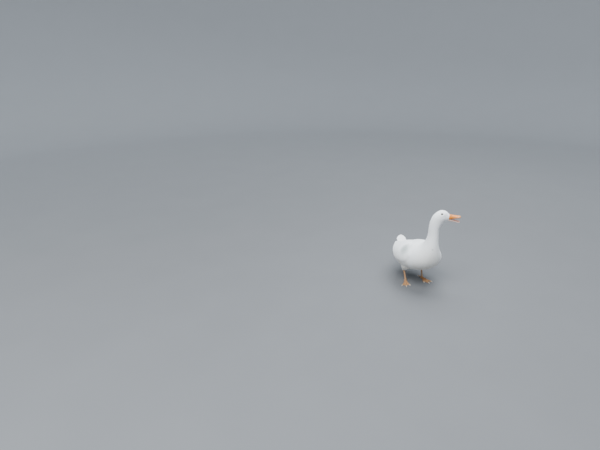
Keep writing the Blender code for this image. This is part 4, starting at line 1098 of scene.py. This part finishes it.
def combs(name, upper, material):
    """Small upright plates in two rows inside the cutting edges, each a box leaned a little inward."""
    s = np.linspace(0.14, 0.86, 52)
    width, _ = bill_section(s, upper)
    along = s * BILL_LENGTH * (1 if upper else LOWER_SHARE)
    boxes = [on_bill(along + step, side * out * width, up, upper)
             for side in (-1, 1) for step in (0, COMB_THICK) for out, up in COMB_CORNERS]
    corners = np.stack(boxes, axis=1).reshape(-1, 8, 3)
    box = np.array([(0, 1, 2, 3), (7, 6, 5, 4), (0, 4, 5, 1), (1, 5, 6, 2), (2, 6, 7, 3), (3, 7, 4, 0)])
    return piece(name, corners, [many(box, len(corners), 8)], material, slot="bill" if upper else "lower_bill")


COMB_FINISH = make_flesh("comb_horn", (0.86, 0.62, 0.40), (0.74, 0.44, 0.22), 0.5)
combs("comb_upper", True, COMB_FINISH)
combs("comb_lower", False, COMB_FINISH)


# %% Tongue, throat and the skin at the corners of the mouth
TONGUE_FINISH = make_flesh("tongue_flesh", (0.66, 0.36, 0.28), (0.56, 0.25, 0.18))
# the throat's dark red is partly the lining's own colour and partly painted shade of the deep mouth
THROAT_FINISH = make_flesh("throat_flesh", (0.50, 0.17, 0.08), (0.28, 0.07, 0.04))
THROAT_Z = BILL_Z - 0.0107


def tongue():
    """A long flat tongue: a flattened ring along the lower bill, broad in front of its middle, grooved on top."""
    s, b = shares(60), circle(32)
    tip = np.sqrt(np.clip(1 - np.clip((s - 0.7) / 0.32, 0, 1) ** 2, 0.05, 1))
    half = 0.0062 * tip * np.clip(0.6 + s, 0, 1) * (1 + 0.03 * np.cos(s * 90) * np.cos(b) ** 4)
    up = 0.0026 + 0.0013 * np.sin(b) - 0.0005 * bell(np.cos(b), 0, 0.25) * (np.sin(b) > 0)
    grid = on_bill(0.004 + s * 0.050, half * np.cos(b), -up, False)
    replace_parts(tube("tongue_soft", grid, TONGUE_FINISH, slot="tongue"), "tongue")


def throat():
    """A domed lining that closes the mouth behind the tongue: rings of ellipses that shrink toward the dome's top."""
    r, b = np.linspace(1, 0.02, 12)[:, None], circle(32)
    ahead = BILL_X + 0.0002 + 0.0030 * (1 - r ** 2)
    dome = points_of(ahead, 0.0120 * r * np.cos(b), THROAT_Z + 0.0042 * r * np.sin(b))
    back = points_of(BILL_X - 0.001, 0.0118 * np.cos(b), THROAT_Z + 0.0040 * np.sin(b))
    tube("throat_lining", on_head(np.concatenate([back, dome])), THROAT_FINISH, slot="tongue")


def mouth_corner(word, side):
    """A web of skin between the halves of the bill: straight rays from the corner, shortest in the middle."""
    c, r = shares(17)[..., None], np.linspace(0.02, 1, 14)[None, :, None]
    top, low = (on_bill(0.0080, side * bill_section(0.15, upper)[0] * inset, 0.0008, upper)
                for upper, inset in ((True, 0.93), (False, 0.95)))
    corner = on_head((BILL_X - 0.0010, side * 0.0122, BILL_Z - 0.0105))
    reach = 1 - 0.42 * np.sin(np.pi * c)
    sheet = corner + r * reach * ((1 - c) * (top - corner) + c * (low - corner))
    out = on_head((BILL_X, side * 0.0004, BILL_Z)) - on_head((BILL_X, 0, BILL_Z))
    plate(f"mouth_corner_{word}", sheet + out, sheet - out, LOWER_FINISH, slot="lower_bill")


tongue()
throat()
for word, side in SIDES:
    mouth_corner(word, side)

# %% [markdown]
# ## Eyes
# A duck's eye is a dark wet ball in a close ring of lid. The iris is a grey-brown barely lighter than the
# pupil, so it is painted by the angle from the eye's axis, and the clear cornea is a glossy coat on top.

# %% Finishes of eye and lid
def make_eye():
    """Eye: black pupil, dark iris with fine rays, darker rim, under a clear wet coat."""
    finish = Finish("eye_wet", 0.10, Coat_Weight=0.4, Coat_Roughness=0.02, Specular_IOR_Level=0.25)
    angle = finish.mark("angle")
    iris = finish.mix(finish.noise(1500.0), (0.018, 0.013, 0.010), (0.050, 0.038, 0.032))
    colour = finish.mix(finish.span(angle, 0.36, 0.42), (0.004, 0.004, 0.005), iris)
    return finish.done(finish.mix(finish.span(angle, 0.74, 0.90), colour, (0.010, 0.008, 0.008)))


def make_lid():
    """Bare skin of the lids: pale and warm, creased in fine cells, a little darker at the edge by the eye."""
    finish = Finish("lid_skin", 0.55, Specular_IOR_Level=0.35)
    tone = finish.mix(finish.mark("edge"), (0.80, 0.73, 0.62), (0.36, 0.28, 0.22))
    return finish.done(tone, finish.cells(1600.0), 0.0002, 0.7)


EYE_FINISH, LID_FINISH = make_eye(), make_lid()


# %% Eyeballs and lids
def eye_shell(side, polar, round_, radius):
    """Points at a polar angle from the outward axis of an eye, an angle round it, and a distance from its middle."""
    outward = unit(np.array([0.06, side, 0.58]))
    forward = unit(np.cross((0, 0, 1), outward) * side * -1)
    upward = np.cross(outward, forward) * side * -1
    polar, round_, radius = (value[..., None] for value in spread(polar, round_, radius))
    direction = np.cos(polar) * outward + np.sin(polar) * (np.cos(round_) * forward + np.sin(round_) * upward)
    return on_head(np.array([EYE_X, side * EYE_Y, EYE_Z]) + radius * direction)


def build_ball(word, side):
    """A ball with a slight cornea: its radius grows by a bell of the angle from its axis."""
    polar = np.linspace(0.03, math.pi - 0.03, 40)[:, None]
    ball = eye_shell(side, polar, circle(56), EYE_RADIUS * (0.985 + 0.035 * bell(polar, 0, 0.55)))
    marks = {"angle": np.broadcast_to(polar, ball.shape[:2])}
    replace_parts(tube(f"eyeball_{word}", ball, EYE_FINISH, marks=marks, slot="eye"), f"eye_{word}")


def build_lids(word, side):
    """A ring of skin round an almond opening: a flat closed roll whose section lies close on the ball."""
    turn, ring = circle(72).T, circle(16)
    opening, reach = 0.82 + 0.08 * np.cos(2 * turn) - 0.03 * np.sin(turn), 0.11
    radius = EYE_RADIUS + 0.00040 + 0.00042 * np.sin(ring) + 0.00012 * np.cos(ring * 3)
    lids = eye_shell(side, opening + reach - reach * np.cos(ring), turn, radius)
    rows, cols = lids.shape[:2]
    edge = np.broadcast_to(np.clip(np.cos(ring), 0, 1) ** 2, (rows, cols))
    faces = ring_faces(rows + 1, cols) % (rows * cols)
    piece(f"lids_{word}", lids, [faces], LID_FINISH, marks={"edge": edge}, slot="plumage")


for word, side in SIDES:
    build_ball(word, side)
    build_lids(word, side)

# %% [markdown]
# ## Legs and feet
# Shanks are bare, covered in front by a row of plates and elsewhere by small round scales. Three toes point
# forward with a web between them, the fourth is a short one behind, and each ends in a pale blunt claw.

# %% Skin of the legs and horn of the claws
def make_leg(name, colour, dark, pale, scale):
    """Leg skin: scales as cells, dusty dark lines between them, and mud low over the floor."""
    finish = Finish(name, 0.55, Specular_IOR_Level=0.35)
    cell = finish.cells(scale)
    blotch = finish.span(finish.noise(90.0, 4.0, 0.6), 0.35, 0.7)
    mud = finish.span(finish.parts(finish.place())[2], 0.030, 0.0)
    tint = finish.mix(finish.times(blotch, 0.6), colour, pale)
    tint = finish.mix(finish.times(mud, 0.35), tint, dark)
    tint = finish.mix(finish.times(finish.span(cell, 0.0, 0.12, 1.0, 0.0), 0.45), tint, dark)
    return finish.done(tint, finish.math("MINIMUM", finish.times(cell, 3.0), 0.6), 0.0006, 0.55)


def make_claw():
    """Claw: pale horn with faint cloudy streaks."""
    finish = Finish("claw_horn", 0.35, Coat_Weight=0.2, Coat_Roughness=0.3)
    streak = finish.noise(800.0, 2.0)
    return finish.done(finish.mix(streak, (0.70, 0.55, 0.38), (0.86, 0.76, 0.60)), streak, 0.0001)


LEG_FINISH = make_leg("leg_scales", (0.58, 0.29, 0.11), (0.27, 0.16, 0.09), (0.62, 0.41, 0.27), 520.0)
FOOT_FINISH = make_leg("foot_scales", (0.58, 0.29, 0.10), (0.29, 0.17, 0.09), (0.62, 0.38, 0.23), 760.0)
CLAW_FINISH = make_claw()


# %% Shanks with a row of plates in front
def build_shank(word, leg):
    """Level ellipses from hock to ankle, thick at both ends; each front plate bulges and steps back at its edge."""
    top, ankle = np.array(leg["hock"]) - (0, 0, 0.0004), np.array([*leg["ankle"], SHANK_FOOT])
    t, b = shares(150), circle(40)
    x, y, z = np.moveaxis(top + (ankle - top) * t[..., None], -1, 0)
    swell = 0.0041 + 0.0024 * bell(t, 0, 0.22) + 0.0012 * bell(t, 1, 0.18)
    front = np.clip(np.cos(b - math.radians(leg["yaw"])), 0, 1) ** 0.6
    step = (t * 15) % 1
    plates = 0.00030 * np.sqrt(np.clip(1 - (2 * step - 1) ** 6, 0, 1)) * front - 0.0001
    radius = swell + plates + 0.00012 * np.sin(t * 150) * np.sin(b * 11) * (1 - front)
    grid = points_of(x + 1.12 * radius * np.cos(b), y + 0.95 * radius * np.sin(b), z) + OFFSET
    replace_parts(tube(f"shank_skin_{word}", grid, LEG_FINISH, slot="leg_skin"), f"shank_{word}")


# %% Directions in plan
TOES = (("inner", -1.0, 0.050), ("middle", 0.0, 0.064), ("outer", 1.0, 0.060))
TOE_SPREAD, HIND_SPREAD = 22.0, 22.0


def toe_yaw(leg, column):
    """The way a toe points in radians: column -1 the inner toe, 0 the middle one and 1 the outer one."""
    return np.radians(leg["yaw"] + leg["side"] * TOE_SPREAD * column)


def hind_yaw(leg):
    """The way the hind toe points: back and a little inward."""
    return math.radians(leg["yaw"] + 180 + leg["side"] * HIND_SPREAD)


def in_plan(start, yaw, along, across=0.0):
    """The x and y of a place given along and across a direction in plan from a start."""
    c, s = np.cos(yaw), np.sin(yaw)
    return start[0] + along * c - across * s, start[1] + along * s + across * c


# %% The three front toes and their webs
FOOT_ROOT, WEB_SIDE, WEB_THICK, RIDGE = 0.0062, 1.15, 0.0022, 0.0050


def foot_sheet(leg, word):
    """A fan of columns from the ankle: bell-shaped ridges for the toes with knuckles and cross plates, thin webs
    with fine pleats between them, and the free edge drawn in between the toes."""
    _, toe_at, lengths = zip(*TOES)
    s, cols = shares(96), np.linspace(-WEB_SIDE, WEB_SIDE, 185)
    near = np.min([np.abs(cols - at) for at in toe_at], axis=0)
    drawn_in = 0.20 * np.sin(np.clip((near - 0.10) / 0.40, 0, 1) * np.pi / 2)
    reach = np.interp(cols, toe_at, lengths) * (1 - drawn_in) - 0.0012 * np.minimum(near / 0.08, 1)
    reach = reach * (1 - 0.12 * ramp(np.abs(cols), 1.03, WEB_SIDE))
    toe = bell(near, 0, 0.085)
    r = FOOT_ROOT + (reach - FOOT_ROOT) * s
    knuckle = 1 + 0.22 * np.cos(s * 2 * np.pi * 3.0)
    ridge = RIDGE * toe * (1 - 0.45 * s) * knuckle * (0.30 + 0.70 * smooth(s, 0.0, 0.22))
    top = WEB_THICK * (1 - 0.35 * (1 - toe)) + ridge + 0.0068 * (1 - s) ** 4
    plates = 0.00035 * np.abs(np.sin(r * 1500)) * toe
    pleats = 0.00012 * np.sin(cols * 90) * (1 - toe) * s
    sole = 0.0007 * (1 - np.clip(toe * 2.2, 0, 1))
    x, y = in_plan(leg["ankle"], toe_yaw(leg, cols), r)
    return plate(f"foot_skin_{word}", points_of(x, y, top + plates + pleats) + OFFSET,
                 points_of(x, y, sole) + OFFSET, FOOT_FINISH, slot="leg_skin")


# %% Ankle, hind toe and claws
GAP = 0.0004


def ankle_joint(leg):
    """A low turned knob over the root of the toes."""
    b, z = circle(48), np.linspace(0, SHANK_FOOT - GAP, 30)[:, None]
    radius = 0.0056 + 0.0024 * bell(z, 0.0042, 0.0048) - 0.0016 * bell(z, 0, 0.0012)
    radius = radius + 0.00015 * np.sin(z * 2400) * np.sin(b * 13)
    x, y = leg["ankle"]
    return tube("ankle", points_of(x + radius * np.cos(b), y + radius * np.sin(b), z) + OFFSET, FOOT_FINISH)


def hind_toe(leg):
    """The short hind toe: a tapering tube lifted off the floor, ringed by small plates."""
    b, s = circle(32), shares(48)
    radius = (0.0031 - 0.0012 * s) * (1 + 0.06 * np.abs(np.sin(s * 28)) * (np.sin(b) > 0))
    x, y = in_plan(leg["ankle"], hind_yaw(leg), 0.0025 + 0.019 * s, radius * np.cos(b))
    return tube("hind_toe", points_of(x, y, 0.0088 - 0.0010 * s + radius * np.sin(b)) + OFFSET, FOOT_FINISH)


def claw(word, name, leg, yaw, reach, height, pitch, radius, length):
    """A cone bent toward the floor: its radius falls by a power of the way along, with a sharp ridge on top."""
    s, b = shares(28), circle(24)
    bend = np.radians(pitch) * s
    r = radius * (1 - 0.90 * s ** 1.4) * (1 + 0.12 * bell(b, np.pi / 2, 0.4))
    along = length * s * np.cos(bend * 0.8) - r * np.sin(b) * np.sin(bend)
    up = length * s * np.sin(bend * 0.8) * 0.62 + r * np.sin(b) * np.cos(bend)
    up = np.maximum(up, 0.0003 - height + 0.0001 * np.cos(b))
    x, y = in_plan(leg["ankle"], yaw, reach + along, r * np.cos(b))
    horn = tube(f"horn_{word}_{name}", points_of(x, y, height + up) + OFFSET, CLAW_FINISH, slot="claw")
    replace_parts(horn, f"claw_{word}_{name}")


# %% Build both legs
for word, leg in LEGS.items():
    build_shank(word, leg)
    foot = foot_sheet(leg, word)
    fuse(foot, [ankle_joint(leg), hind_toe(leg)])
    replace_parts(foot, f"foot_{word}")
    for name, column, length in TOES:
        claw(word, name, leg, toe_yaw(leg, column), length - 0.001, 0.0032, -24, 0.0023, 0.0105)
    claw(word, "hind", leg, hind_yaw(leg), 0.0210, 0.0078, -40, 0.0017, 0.0068)

# %% [markdown]
# ## Studio
# The bird stands in a wide shallow bowl of pale grey that curves up far away, so no edge shows from any side.
# One broad soft light stands high in front and another hangs over and behind, as on a bright overcast day.

# %% A floor that bends up to a wall
FLAT_RADIUS, BEND_RADIUS, WALL_TOP = 5, 3, 6.0


def make_floor():
    """Matt pale grey with the faintest mottling, paler far out, where less light falls, so it looks even."""
    finish = Finish("studio_floor", 0.85, Specular_IOR_Level=0.2)
    speck = finish.noise(3.0, 4.0)
    under = finish.mix(speck, (0.140, 0.143, 0.147), (0.155, 0.158, 0.162))
    far = finish.mix(speck, (0.50, 0.505, 0.51), (0.52, 0.525, 0.53))
    return finish.done(finish.mix(finish.near((0, 0, 0), 0.8, 7.0), far, under))


def studio_bowl():
    """A turned profile: flat at first, then a quarter circle up to a wall."""
    turn, bend = circle(96), np.linspace(0, np.pi / 2, 24)[1:]
    r = np.array([0.02, 1, 3, FLAT_RADIUS, *(FLAT_RADIUS + BEND_RADIUS * np.sin(bend)), FLAT_RADIUS + BEND_RADIUS])
    z = np.array([0, 0, 0, 0, *(BEND_RADIUS - BEND_RADIUS * np.cos(bend)), WALL_TOP])
    grid = points_of(r[:, None] * np.cos(turn), r[:, None] * np.sin(turn), z[:, None])
    rows, cols = grid.shape[:2]
    j = np.arange(cols)
    hub = np.stack([np.full(cols, rows * cols), j, (j + 1) % cols], -1)
    mesh = bpy.data.meshes.new("studio")
    mesh.from_pydata([*grid.reshape(-1, 3).tolist(), (0, 0, 0)], [],
                     ring_faces(rows, cols)[:, ::-1].tolist() + hub.tolist())
    mesh.polygons.foreach_set("use_smooth", np.ones(len(mesh.polygons), bool))
    mesh.materials.append(make_floor())
    bowl = bpy.data.objects.new("studio", mesh)
    bpy.context.scene.collection.objects.link(bowl)


studio_bowl()


# %% Lights
def aimed(name, data, place, direction):
    """An object at a place, turned so that it looks in a direction."""
    obj = bpy.data.objects.new(name, data)
    obj.location = place
    obj.rotation_mode = "QUATERNION"
    obj.rotation_quaternion = Vector(direction).to_track_quat("-Z", "Y")
    bpy.context.scene.collection.objects.link(obj)
    return obj


def soft_light(name, place, size, power, colour, target=(0, 0, 0.2)):
    """A square soft light at a place, turned to face the bird."""
    lamp = bpy.data.lights.new(name, "AREA")
    lamp.shape, lamp.size, lamp.energy, lamp.color = "SQUARE", size, power, colour
    aimed(name, lamp, place, Vector(target) - Vector(place))


soft_light("key", (1.6, -1.5, 2.9), 2.0, 200, (0.93, 0.965, 1.0))
soft_light("overhead", (-0.6, 0.6, 3.0), 2.2, 170, (0.88, 0.94, 1.0))
world = bpy.data.worlds.new("studio_air")
world.use_nodes = True
air = world.node_tree.nodes["Background"].inputs
air[0].default_value, air[1].default_value = (0.78, 0.88, 1.0, 1), 0.85
bpy.context.scene.world = world

# %% [markdown]
# ## Camera
# The photograph was taken from the bird's right front and a little above. The camera stands where the size
# and place of the bird in the picture put it, and keeps that framing, with the bird in the right half.

# %% Camera at the photograph's viewing angle
FOCAL_PX, FRAME_PX, SENSOR = 451.0, 600.0, 36.0
HORIZON_PX, VIEW_TURN = 170, 166.0
CAMERA_PLACE = np.array([2.01359, -1.16254, 1.17486]) + OFFSET
pitch, turn = math.atan(HORIZON_PX / FOCAL_PX), math.radians(VIEW_TURN)
look = (math.cos(pitch) * math.cos(turn), math.cos(pitch) * math.sin(turn), -math.sin(pitch))
camera = bpy.data.cameras.new("camera")
camera.sensor_width, camera.lens = SENSOR, FOCAL_PX / FRAME_PX * SENSOR
bpy.context.scene.camera = aimed("camera", camera, CAMERA_PLACE, look)

# %% [markdown]
# ## Triangles
# The dressed bird must keep the size of its solids; here only the triangles of all pieces are counted.

# %% Count the triangles and finish
print("triangles in all:", sum(TALLY.values()))
